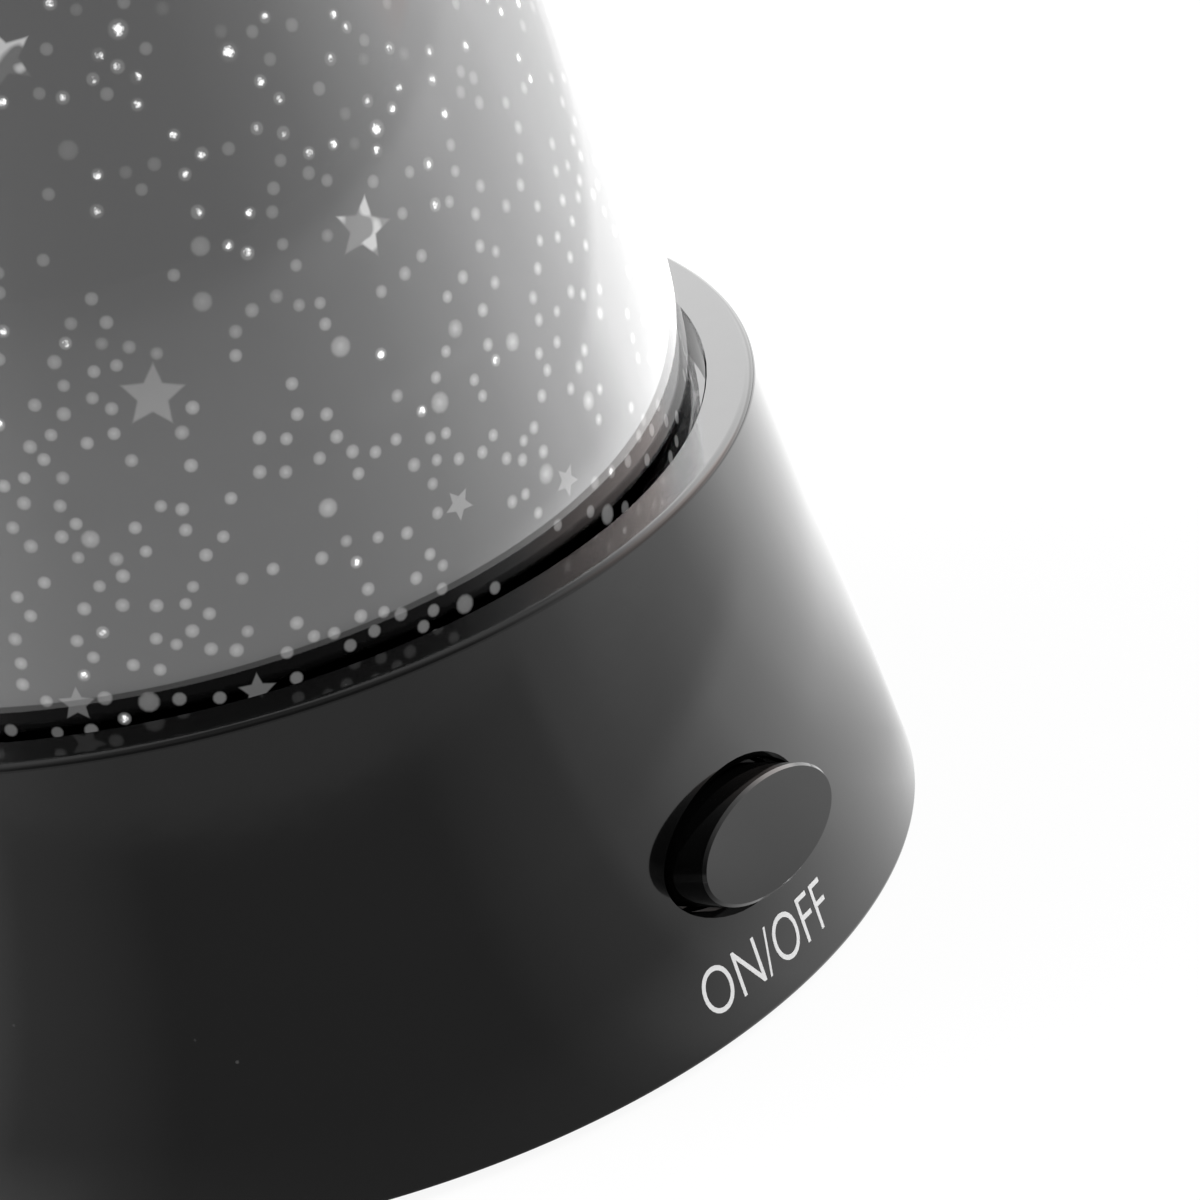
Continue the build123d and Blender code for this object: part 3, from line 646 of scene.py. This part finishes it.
def layAnew(loops, places, first):
    # points as (number, azimuth, u), the new ones numbered from first, and the triangles between them
    points, outlines, areas = [], [], []
    for loop in loops:
        flat = [toMap(*places[i]) for i in loop]
        area = sum(a.x * b.y - b.x * a.y for a, b in zip(flat, flat[1:] + flat[:1]))
        outlines.append(list(range(len(points), len(points) + len(loop)))[::1 if area > 0 else -1])
        areas.append(abs(area))
        points += [(i, *places[i]) for i in loop]
    outside, ring = sorted(range(len(loops)), key=lambda k: -areas[k])[:2]
    holes = [[toMap(*places[i]) for i in loop] for k, loop in enumerate(loops) if k not in (outside, ring)]
    points += [(first + k, azimuth, u) for k, (azimuth, u) in enumerate(housingGrid(holes))]
    flat = [toMap(azimuth, u) for i, azimuth, u in points]
    made = delaunay_2d_cdt(flat, [], outlines, 0, housing["flatWeld"])
    # made[3] and made[5] name the points and the outlines that its points and faces come from
    kept = [face for face, source in zip(made[2], made[5]) if list(source) == [outside]]
    return points, [[points[made[3][i][0]] for i in face] for face in kept]


def buildHousing():
    data = nodes["base_housing"].data
    weld = weldedIndices(data)
    places = outlinePlaces(data, weld)
    faces, normals, edges = splitFaces(data, weld, places)
    loops = boundaryLoops(edges)
    first = len(data.vertices)
    points, triangles = layAnew(loops, places, first)
    for corners in triangles:
        faces.append([i for i, azimuth, u in corners])
        normals += [turned(azimuth, housingLine.at(u)[2]) for i, azimuth, u in corners]
    spots = {i: spun(*housingLine.at(u)[:2], azimuth) * mm for i, azimuth, u in points if i >= first}
    used = sorted({i for face in faces for i in face})
    renumber = {old: new for new, old in enumerate(used)}
    vertices = [data.vertices[i].co if i < first else spots[i] for i in used]
    faces = [[renumber[i] for i in face] for face in faces]
    made = newPiece("baseHousing", vertices, faces, [finishes["black_housing"]])
    made.data.normals_split_custom_set(normals)
    print("housing:", len(loops), "edges,", len(faces), "faces")
    return made


baseHousing = buildHousing()
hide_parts("base_housing")
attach(baseHousing, "base")


# plain words printed under the buttons, as a thin film that hugs the wall
legend = {"words": [("onOffLegend", "ON/OFF", -91.3, 0.79), ("colourLegend", "1", 30.0, 1.0),
                    ("timerLegend", "2", 150.0, 1.0)],                 # name, words, azimuth and narrowing
          "capHeight": 4.0, "low": 2.75, "proud": 0.04, "sunk": 0.02,
          "extrude": 0.5, "thinner": 0.009, "curveSteps": 6, "weld": 0.0005}


def printLegend(name, words, azimuth, narrow):
    bpy.ops.object.text_add()
    label = bpy.context.object
    label.name = name
    label.data.body = words
    label.data.align_x = "CENTER"
    label.data.extrude = legend["extrude"]
    label.data.offset = -legend["thinner"]
    label.data.resolution_u = legend["curveSteps"]
    bpy.ops.object.convert(target="MESH")
    bpy.ops.object.mode_set(mode="EDIT")
    bpy.ops.mesh.select_all(action="SELECT")
    bpy.ops.mesh.remove_doubles(threshold=legend["weld"])
    bpy.ops.mesh.normals_make_consistent(inside=False)
    bpy.ops.object.mode_set(mode="OBJECT")
    spots = [vertex.co.copy() for vertex in label.data.vertices]
    bottom, top = min(spot.y for spot in spots), max(spot.y for spot in spots)
    scale = legend["capHeight"] / (top - bottom)
    start = housingLine.wallStart + legend["low"] - housing["lowerRound"]
    for vertex, spot in zip(label.data.vertices, spots):
        radius, height, lean = housingLine.at(start + (spot.y - bottom) * scale)
        around = radians(azimuth) + spot.x * scale * narrow / radius
        out = legend["proud"] if spot.z > 0 else -legend["sunk"]
        vertex.co = spun(radius, height, around) * mm + turned(around, lean) * out * mm
    label.data.materials.clear()
    label.data.materials.append(finishes["legend_print"])
    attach(label, "base")
    return len(label.data.polygons)


print("legend faces:", [printLegend(*word) for word in legend["words"]])


# star dome: a clear skin over a smoked mirror coat, which has clear dots and stars cut out of it; millimetres
dome = {
    "footRadius": 44.9, "ringHeight": 41.5, "deckHeight": 39.1, "wall": 1.8,
    "sideRadius": 200.0, "footLean": 1.0, "shoulderLean": 18.0,
    "coatDepth": 0.55, "skinBack": 0.45,
    "gridStep": 2.4, "gridClear": 0.45, "cell": 4.0, "square": 5.0, "turns": 150, "backRows": 36,
    "poleTurns": 8, "poleShare": 0.05, "flatWeld": 1e-7,
    "seed": 11,
    # dots: how many, their sizes, the chains that they lie in, and their soft edge in shares of the radius
    "dots": 2250, "smallDot": 0.55, "largeDot": 0.8, "largeShare": 0.05, "dotSpread": (0.92, 1.08),
    "chain": (1, 1, 2, 2, 3, 4), "wander": 0.8, "stride": (1.95, 2.8), "narrowest": 4.0,
    "dotSides": 12, "coreSides": 8, "coreTurn": 0.2, "edge": (1.1, 0.8),
    # stars: the front is left to those that are listed
    "starTries": 46, "starSizes": (1.45, 1.6, 2.3, 2.6), "starShines": (0, 0, 1), "starGap": 15.0,
    "starFront": (-155, -45, 60), "starRange": (2.5, 6.0), "starPoints": 5, "starShare": 0.48,
    "starEdge": (1.05, 0.86), "starReach": 0.85,
    # what a mark keeps clear of
    "gap": 0.3, "clearFoot": 0.4, "clearPole": 1.4, "clearShoulder": 0.45, "clearBack": 0.4,
    "dotRange": (0.9, 2.0), "roomFor": 0.8, "roomAfter": 0.5,
    # height above the ring where the far side shines through, shown as painted glints, and how many marks
    # show them there and lower
    "glintFrom": (28.0, 42.0), "glintShare": 0.62, "lowGlintShare": 0.03, "glintReach": (0.1, 0.45),
    "glintPower": (0.3, 1.0),
}


class DomeLine:
    # outline of the dome in millimetres: s runs up the wall from its foot to the top
    def __init__(self, inset=0.0):
        lean = radians(dome["footLean"])
        sideRadius = dome["sideRadius"]
        self.side = dome["footRadius"] - sideRadius * cos(lean), dome["ringHeight"] - sideRadius * sin(lean)
        self.shoulder = radians(dome["shoulderLean"])
        shoulderRadius = self.side[0] + dome["sideRadius"] * cos(self.shoulder)
        self.crownRadius = shoulderRadius / cos(self.shoulder)
        self.crownHeight = self.side[1] + (dome["sideRadius"] - self.crownRadius) * sin(self.shoulder)
        self.inset = inset
        self.foot = asin((dome["deckHeight"] - self.side[1]) / dome["sideRadius"])
        self.sideLength = dome["sideRadius"] * (self.shoulder - self.foot)
        self.length = self.sideLength + self.crownRadius * (pi / 2 - self.shoulder)

    def at(self, s):
        # radius, height and lean of the wall at s
        if s <= self.sideLength:
            lean = self.foot + s / dome["sideRadius"]
            reach = dome["sideRadius"] - self.inset
            height = self.side[1] + reach * sin(lean)
            return self.side[0] + reach * cos(lean), max(height, dome["deckHeight"]), lean
        lean = self.shoulder + (s - self.sideLength) / self.crownRadius
        reach = self.crownRadius - self.inset
        return reach * cos(lean), self.crownHeight + reach * sin(lean), lean

    def heightToS(self, height):
        return dome["sideRadius"] * (asin((height - self.side[1]) / dome["sideRadius"]) - self.foot)


domeLine = DomeLine()

# azimuth in degrees, height above the top ring, outer radius, turn, and 1 where the far side shines through,
# shown as a painted glint
frontStars = [
    (-132.9, 24.9, 2.7, -14.5, 0), (-105.9, 31.5, 2.6, -24.7, 1), (-104.6, 8.0, 1.4, 25.6, 0),
    (-90.25, 4.7, 1.4, 30.0, 0), (-148.0, 1.76, 1.55, -8.5, 0), (-130.2, -0.4, 1.6, -10.0, 0),
    (-139.9, 51.9, 2.6, 10.0, 1),
]
# azimuth, height above the top ring and radius
frontDots = [
    (-137.3, 24.7, 0.55), (-129.3, 23.2, 0.58), (-134.0, 29.0, 0.55), (-103.5, 16.3, 0.86),
    (-125.4, 30.8, 0.8), (-92.9, 6.3, 0.85), (-131.2, 3.4, 0.6), (-141.5, 4.2, 0.55), (-118.6, 12.2, 0.8),
    (-99.0, 21.0, 0.75), (-155.4, 0.2, 0.55), (-150.7, -0.4, 0.5), (-143.7, -0.1, 0.55),
    (-145.1, 1.9, 0.62), (-140.9, 0.9, 0.86), (-137.9, 0.6, 0.58), (-134.0, -0.1, 0.55),
    (-133.2, 1.1, 0.55), (-128.1, 1.1, 0.58), (-126.1, -0.3, 0.55), (-126.4, 2.0, 0.55),
    (-120.0, 0.8, 0.55), (-117.2, 1.2, 0.55), (-115.7, 0.5, 0.55), (-112.0, -0.1, 0.55),
    (-110.5, 0.8, 0.55), (-106.9, 0.1, 0.8), (-103.0, 0.1, 0.55), (-150.4, 9.6, 0.55),
    (-146.4, 7.0, 0.55),
]

Mark = namedtuple("Mark", "azimuth s radius isStar turn shine")


def domeSpot(azimuth, s):
    return spun(*domeLine.at(s)[:2], azimuth)


class Nearby:
    # places filed by the cell of space, or the square of a sheet, that they lie in
    def __init__(self, size):
        self.size = size
        self.cells = {}

    def cell(self, place):
        return tuple(floor(part / self.size) for part in place)

    def add(self, place, reach):
        self.cells.setdefault(self.cell(place), []).append((place, reach))

    def isNear(self, place, margin):
        steps = product((-1, 0, 1), repeat=len(place))
        cells = [tuple(a + b for a, b in zip(self.cell(place), step)) for step in steps]
        found = [other for cell in cells for other in self.cells.get(cell, [])]
        return any((place - other).length < margin + reach for other, reach in found)


class MarkField:
    # marks that keep clear of each other
    def __init__(self):
        self.marks = []
        self.nearby = Nearby(dome["cell"])

    def put(self, azimuth, s, radius, isStar, turn=0.0, shine=0):
        azimuth = (azimuth + pi) % tau - pi
        if s < radius + dome["clearFoot"] or s > domeLine.length - dome["clearPole"] - radius:
            return False
        if abs(s - domeLine.sideLength) < radius + dome["clearShoulder"]:
            return False
        if (pi - abs(azimuth)) * domeLine.at(s)[0] < radius + dome["clearBack"]:
            return False
        spot = domeSpot(azimuth, s)
        reach = radius * (dome["starReach"] if isStar else 1.0) + dome["gap"] / 2
        if self.nearby.isNear(spot, reach):
            return False
        self.nearby.add(spot, reach)
        self.marks.append(Mark(azimuth, s, radius, isStar, turn, shine))
        return True


def anywhere(random, low, high):
    # even over the surface, which is narrower near the top
    while True:
        s, azimuth = random.uniform(low, high), random.uniform(-pi, pi)
        if random.random() < domeLine.at(s)[0] / dome["footRadius"]:
            return azimuth, s


def placeFront(field):
    for azimuth, height, radius, turn, shine in frontStars:
        s = domeLine.heightToS(dome["ringHeight"] + height)
        field.put(radians(azimuth), s, radius, True, radians(turn), shine)
    for azimuth, height, radius in frontDots:
        field.put(radians(azimuth), domeLine.heightToS(dome["ringHeight"] + height), radius, False)


def scatterStars(field, random):
    low, high = dome["starRange"][0], domeLine.length - dome["starRange"][1]
    left, right, top = dome["starFront"]
    for attempt in range(dome["starTries"]):
        azimuth, s = anywhere(random, low, high)
        spot = domeSpot(azimuth, s)
        stars = [mark for mark in field.marks if mark.isStar]
        tooNear = any((domeSpot(star.azimuth, star.s) - spot).length < dome["starGap"] for star in stars)
        if not tooNear and not (left < degrees(azimuth) < right and s < top):
            radius, turn = random.choice(dome["starSizes"]), random.uniform(0.0, tau)
            field.put(azimuth, s, radius, True, turn, random.choice(dome["starShines"]))


def scatterDots(field, random):
    # short, wandering chains
    low, high = dome["dotRange"][0], domeLine.length - dome["dotRange"][1]
    placed = 0
    while placed < dome["dots"]:
        azimuth, s = anywhere(random, low, high)
        isLate = placed > dome["roomAfter"] * dome["dots"]
        if isLate and field.nearby.isNear(domeSpot(azimuth, s), dome["roomFor"]):
            continue
        heading = random.uniform(0.0, tau)
        for step in range(random.choice(dome["chain"])):
            radius = dome["largeDot"] if random.random() < dome["largeShare"] else dome["smallDot"]
            if field.put(azimuth, s, radius * random.uniform(*dome["dotSpread"]), False):
                placed += 1
            heading += random.uniform(-dome["wander"], dome["wander"])
            stride = random.uniform(*dome["stride"])
            azimuth += stride * cos(heading) / max(dome["narrowest"], domeLine.at(s)[0])
            s += stride * sin(heading)
            if not low < s < high:
                break


def scatter():
    field = MarkField()
    random = Random(dome["seed"])
    placeFront(field)
    scatterStars(field, random)
    scatterDots(field, random)
    return field.marks


def polygon(radius, sides, turn=0.0):
    angles = [turn + tau * i / sides for i in range(sides)]
    return [(radius * cos(angle), radius * sin(angle)) for angle in angles]


def markShapes(mark):
    # outline and inner ring as offsets along the level and up the wall, anticlockwise
    if not mark.isStar:
        edge, core = (share * mark.radius for share in dome["edge"])
        return polygon(edge, dome["dotSides"]), polygon(core, dome["coreSides"], dome["coreTurn"])
    shapes = []
    count = dome["starPoints"]
    for size in dome["starEdge"]:
        tips, notches = (polygon(size * mark.radius * share, count, mark.turn + pi / 2 + twist)
                         for share, twist in ((1.0, 0.0), (dome["starShare"], pi / count)))
        shapes.append([corner for pair in zip(tips, notches) for corner in pair])
    return shapes


def markSpots(marks):
    # one point inside each mark and the strength of its painted glint, which stands for the far side shining
    # through there
    random = Random(dome["seed"] + 1)
    spots, glints = [], []
    low, high = dome["glintFrom"]
    for mark in marks:
        climb = min(1.0, max(0.0, (domeLine.at(mark.s)[1] - dome["ringHeight"] - low) / (high - low)))
        share = mixed(dome["lowGlintShare"], dome["glintShare"], climb)
        heading, reach = random.uniform(0.0, tau), mark.radius * random.uniform(*dome["glintReach"])
        strength = random.uniform(*dome["glintPower"]) if random.random() < share else 0.0
        if mark.isStar:
            reach, strength = 0.0, float(mark.shine)
        glints.append(strength)
        spots.append((reach * cos(heading), reach * sin(heading)) if strength else (0.0, 0.0))
    return spots, glints


# kinds of points of the coat
onGrid, onEdge, onCore, inMiddle = range(4)


def triangulate(points, kinds, outlines, marksOf):
    # flat points with the marks' outlines; each triangle gets the number of the mark that it lies in, or -1
    vertices, kinds, faces = [Vector(point) for point in points], list(kinds), []
    for outline, kind in outlines:
        faces.append(list(range(len(vertices), len(vertices) + len(outline))))
        vertices += [Vector(point) for point in outline]
        kinds += [kind] * len(outline)
    made = delaunay_2d_cdt(vertices, [], faces, 0, dome["flatWeld"])
    flat = [tuple(vertex) for vertex in made[0]]
    kinds = [kinds[source[0]] if source else onEdge for source in made[3]]
    tags = [marksOf[source[0]] if source else -1 for source in made[5]]
    return flat, kinds, [tuple(face) for face in made[2]], tags


class CoatSide:
    # the coat's side, laid flat as a strip
    def holds(self, s):
        return s <= domeLine.sideLength

    def widening(self, s):
        return dome["footRadius"] / domeLine.at(s)[0]

    def lay(self, azimuth, s, across, climb):
        flat = dome["footRadius"]
        return azimuth * flat + across * flat / domeLine.at(s + climb)[0], s + climb

    def lift(self, x, y):
        return x / dome["footRadius"], y

    def grid(self):
        rows, turns = ceil(domeLine.sideLength / dome["gridStep"]), dome["turns"]
        for row in range(rows + 1):
            for turn in range(turns + 1):
                x = (turn / turns - 0.5) * tau * dome["footRadius"]
                yield x, domeLine.sideLength * row / rows, row in (0, rows) or turn in (0, turns)


class CoatCrown:
    # the coat's crown, laid flat as a disc
    def holds(self, s):
        return s > domeLine.sideLength

    def widening(self, s):
        return (domeLine.length - s) / domeLine.at(s)[0]

    def lay(self, azimuth, s, across, climb):
        rho = domeLine.length - s
        reach, across = rho - climb, across * rho / domeLine.at(s)[0]
        return reach * cos(azimuth) - across * sin(azimuth), reach * sin(azimuth) + across * cos(azimuth)

    def lift(self, x, y):
        return atan2(y, x), domeLine.length - hypot(x, y)

    def grid(self):
        length, turns = domeLine.length - domeLine.sideLength, dome["turns"]
        rows = ceil(length / dome["gridStep"])
        yield 0.0, 0.0, True
        for row in range(1, rows + 1):
            share = min(1.0, row / rows + dome["poleShare"])
            around = turns if row == rows else max(dome["poleTurns"], int(turns * share))
            for turn in range(around):
                angle = tau * turn / around - pi
                yield length * row / rows * cos(angle), length * row / rows * sin(angle), row == rows


def layPart(part, marks, spots):
    # one part of the coat: flat points, their kinds, triangles and the mark that each of these lies in
    outlines, marksOf, nearby, inner, middle = [], [], Nearby(dome["square"]), [], []
    for index, mark in enumerate(marks):
        if not part.holds(mark.s):
            continue
        shapes = markShapes(mark)
        edge, core = ([part.lay(mark.azimuth, mark.s, *offset) for offset in shape] for shape in shapes)
        outlines.append((edge, onEdge))
        if mark.isStar:
            outlines.append((core, onCore))
        else:
            inner += core
        marksOf += [index] * (2 if mark.isStar else 1)
        middle.append(part.lay(mark.azimuth, mark.s, *spots[index]))
        centre = Vector(part.lay(mark.azimuth, mark.s, 0.0, 0.0))
        nearby.add(centre, mark.radius * max(1.0, part.widening(mark.s)))
    clear = dome["gridClear"]
    grid = [(x, y) for x, y, isRim in part.grid() if isRim or not nearby.isNear(Vector((x, y)), clear)]
    kinds = [onGrid] * len(grid) + [onCore] * len(inner) + [inMiddle] * len(middle)
    return triangulate(grid + inner + middle, kinds, outlines, marksOf)


def layCoat(marks, spots):
    # places as (azimuth, s), their kinds, the faces and their marks
    places, kinds, faces, tags = [], [], [], []
    for part in (CoatSide(), CoatCrown()):
        flat, partKinds, triangles, partTags = layPart(part, marks, spots)
        faces += [tuple(len(places) + i for i in triangle) for triangle in triangles]
        places += [part.lift(x, y) for x, y in flat]
        kinds += partKinds
        tags += partTags
    return places, kinds, faces, tags


class Shell:
    # vertices in metres, their normals and faces; every vertex is used by faces that share its normal
    def __init__(self):
        self.vertices, self.normals, self.faces, self.slots = [], [], [], []

    def point(self, radius, height, azimuth, lean):
        self.vertices.append(spun(radius, height, azimuth) * mm)
        self.normals.append(turned(azimuth, lean))
        return len(self.vertices) - 1

    def ring(self, radius, height, lean):
        turns = dome["turns"]
        return [self.point(radius, height, tau * turn / turns - pi, lean) for turn in range(turns)]

    def bridge(self, low, high, slot, flip):
        for turn in range(len(low)):
            after = (turn + 1) % len(low)
            face = (low[turn], low[after], high[after], high[turn])
            self.faces.append(face[::-1] if flip else face)
            self.slots.append(slot)

    def wall(self, line, slot, inward):
        # turned wall with a closed pole; inward walls face the axis
        side = -1.0 if inward else 1.0
        rings = []
        for row in range(dome["backRows"]):
            radius, height, lean = line.at(line.length * row / dome["backRows"])
            rings.append(self.ring(radius, height, lean))
        pole = self.point(0.0, line.crownHeight + line.crownRadius - line.inset, 0.0, pi / 2)
        for i in [i for ring in rings for i in ring] + [pole]:
            self.normals[i] = side * self.normals[i]
        for low, high in zip(rings, rings[1:]):
            self.bridge(low, high, slot, inward)
        for turn in range(dome["turns"]):
            face = (rings[-1][turn], rings[-1][(turn + 1) % dome["turns"]], pole)
            self.faces.append(face[::-1] if inward else face)
            self.slots.append(slot)

    def foot(self, outer, inner, slot):
        rings = [self.ring(line.at(0.0)[0], dome["deckHeight"], -pi / 2) for line in (outer, inner)]
        self.bridge(*rings, slot, True)

    def make(self, name, materials):
        made = newPiece(name, self.vertices, self.faces, materials)
        made.data.polygons.foreach_set("material_index", self.slots)
        made.data.normals_split_custom_set_from_vertices(self.normals)
        return made


def buildCoat():
    marks = scatter()
    spots, glints = markSpots(marks)
    places, kinds, faces, tags = layCoat(marks, spots)
    line, inside = DomeLine(dome["coatDepth"]), DomeLine(dome["wall"])
    shell = Shell()
    for azimuth, s in places:
        radius, height, lean = line.at(min(max(s, 0.0), line.length))
        shell.point(radius, height, azimuth, lean)
    for face, tag in zip(faces, tags):
        a, b, c = (shell.vertices[i] for i in face)
        facing = (b - a).cross(c - a).dot(shell.normals[face[0]])
        shell.faces.append(face if facing > 0 else face[::-1])
        shell.slots.append(0 if tag < 0 else 2 if marks[tag].isStar else 1)
    shell.wall(inside, 3, True)
    shell.foot(line, inside, 3)
    windows = windowFinish("clearDot", paintedDotShine), windowFinish("clearStar", paintedStarShine)
    made = shell.make("starDome", (coatFinish(), *windows, innerWallFinish()))
    tagVertices(made.data, kinds, faces, tags, marks, glints)
    return made


def tagVertices(mesh, kinds, faces, tags, marks, glints):
    # dotAmount: 0 on an outline, 1 inside; dotCore: 1 in the middle, where a dot gets a painted highlight;
    # dotShade: the mark's own tone; dotGlint: the strength of the mark's own painted glint
    random = Random(dome["seed"] + 2)
    markShade = [random.random() for mark in marks]
    count = len(mesh.vertices)
    shade, glint = [0.0] * count, [0.0] * count
    for face, tag in zip(faces, tags):
        if tag < 0:
            continue
        outer = onEdge if marks[tag].isStar else onCore
        for i in face:
            shade[i] = markShade[tag]
            glint[i] = glints[tag] if kinds[i] > outer else 0.0
    kinds = kinds + [onGrid] * (count - len(kinds))
    values = {"dotShade": shade, "dotGlint": glint, "dotAmount": [float(kind > onEdge) for kind in kinds],
              "dotCore": [float(kind == inMiddle) for kind in kinds]}
    for name, value in values.items():
        mesh.attributes.new(name, "FLOAT", "POINT").data.foreach_set("value", value)


coat = {"colour": 0.228, "light": (1.02, 1.02, 1.02), "dark": (0.97, 0.97, 0.985), "cloud": (30.0, 3.0),
        "rough": (0.03, 0.03, 55.0, 4.0)}


def coatFinish():
    shader = newShader("smokedMirror")
    light, dark = (rgb(*[coat["colour"] * part for part in coat[name]]) for name in ("light", "dark"))
    base = shader.mixColour(shader.noise(*coat["cloud"]), light, dark)
    return principled(shader, base=base, rough=shader.drift(*coat["rough"]), metal=1.0)


# clear windows in the coat, their pale inside and glow painted light that stands for what shows through them;
# pairs hold what they are low on the dome and high up
window = {
    # painted shade: high up the windows turn dim and more of them faint, standing for the darker inside that
    # shows through there
    "highFrom": (0.0635, 0.0795),        # height above the table in metres where they turn dim
    # through is a painted glow standing for light coming through the window; middle is how strong the painted
    # highlight in a dot's middle is
    "colour": (0.254, 0.24), "metal": (0.86, 0.95), "through": (0.095, 0.05), "middle": (0.35, 0.1),
    "faint": [(0.0, 0.75), (0.1, 0.6), (0.25, 0.25), (0.6, 0.0)],      # how faint by the mark's own shade
    "faintShare": (0.35, 1.0), "paintedMiddleLight": 0.95, "rough": (0.03, 0.04, 900.0), "glow": 1.3,
    # painted glints in the dots and stars, standing for light from the far side's windows
    "paintedDotShine": {"noise": (2600.0, 1.0), "from": (0.36, 0.64), "least": 0.45,
                 "ramp": [(0.12, 0.0), (0.3, 0.4), (0.6, 1.0)]},
    "paintedStarShine": {"noise": (620.0, 0.0), "from": (0.53, 0.66), "strength": 0.28},
}


# painted glint: a white glow over part of a dot, standing for light from the far side's windows
def paintedDotShine(shader, glint):
    shine = window["paintedDotShine"]
    broken = shader.rise(shader.noise(*shine["noise"]), *shine["from"])
    return shader.ramp(glint * (shine["least"] + broken), shine["ramp"])


# painted glint: a soft glow over part of a star, standing for light from the far side's windows
def paintedStarShine(shader, glint):
    shine = window["paintedStarShine"]
    return shine["strength"] * glint * shader.rise(shader.noise(*shine["noise"]), *shine["from"])


def windowFinish(name, shineOf):
    # at its outline a window looks as the coat does; inside it is pale and glows a little, painted light
    # standing for what shows through it, and dimmer high up, painted shade; a dot also gets a painted
    # highlight in its middle
    shader = newShader(name)
    names = ("dotAmount", "dotCore", "dotShade", "dotGlint")
    amount, core, shade, glint = (shader.attribute(part) for part in names)
    high = shader.rise(shader.dot(shader.place(), (0.0, 0.0, 1.0)), *window["highFrom"])
    amount = amount * (1.0 - shader.ramp(shade, window["faint"]) * mixed(*window["faintShare"], high))
    inside = shader.mixColour(high, *(rgb(grey) for grey in window["colour"]))
    base = shader.mixColour(amount, rgb(coat["colour"]), inside)
    # painted highlight: a dot is lighter in its middle, more so low on the dome
    if name == "clearDot":
        base = shader.mixColour(core * mixed(*window["middle"], high), base, rgb(window["paintedMiddleLight"]))
    metal = 1.0 - amount * (1.0 - mixed(*window["metal"], high))
    # painted light: the glint and a faint glow, stronger low on the dome, standing for light through the
    # window
    glow = shineOf(shader, glint) + amount * mixed(*window["through"], high)
    rough = shader.drift(*window["rough"])
    return principled(shader, base=base, rough=rough, metal=metal, ior=plasticIor, glow=glow,
                      glowStrength=window["glow"])


innerWall = {"colour": 0.02, "rough": (0.06, 0.04, 60.0), "alpha": 0.06, "ior": 1.45}


def innerWallFinish():
    shader = newShader("clearInnerWall")
    base, rough = rgb(innerWall["colour"]), shader.drift(*innerWall["rough"])
    return principled(shader, base=base, rough=rough, alpha=innerWall["alpha"], ior=innerWall["ior"])


lacquer = {"ior": 2.05, "rough": (0.02, 0.03, 45.0, 4.0), "backRough": (0.05, 0.02, 45.0)}


def skinFinish():
    # clear lacquer: seen through, glossy by its angle, and plain clear from inside
    shader = newShader("clearLacquer")
    fromInside = shader.node("ShaderNodeNewGeometry", output="Backfacing")
    gloss = shader.node("ShaderNodeFresnel", None, {"IOR": lacquer["ior"]}) * (1.0 - fromInside)
    return principled(shader, base=rgb(1.0), rough=shader.drift(*lacquer["rough"]), metal=1.0, alpha=gloss)


def skinBackFinish():
    shader = newShader("lacquerBack")
    return principled(shader, base=rgb(1.0), rough=shader.drift(*lacquer["backRough"]), alpha=0.0)


starDome = buildCoat()
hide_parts("star_dome")
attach(starDome, "dome")

skin = Shell()
skin.wall(domeLine, 0, False)
skin.wall(DomeLine(dome["skinBack"]), 1, True)
skin.foot(domeLine, DomeLine(dome["skinBack"]), 1)
domeSkin = skin.make("domeSkin", (skinFinish(), skinBackFinish()))
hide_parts("star_dome")
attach(domeSkin, "dome")
print("dome:", len(starDome.data.polygons), "faces under a skin of", len(domeSkin.data.polygons))


scene = bpy.context.scene
scene.view_settings.view_transform = "Standard"
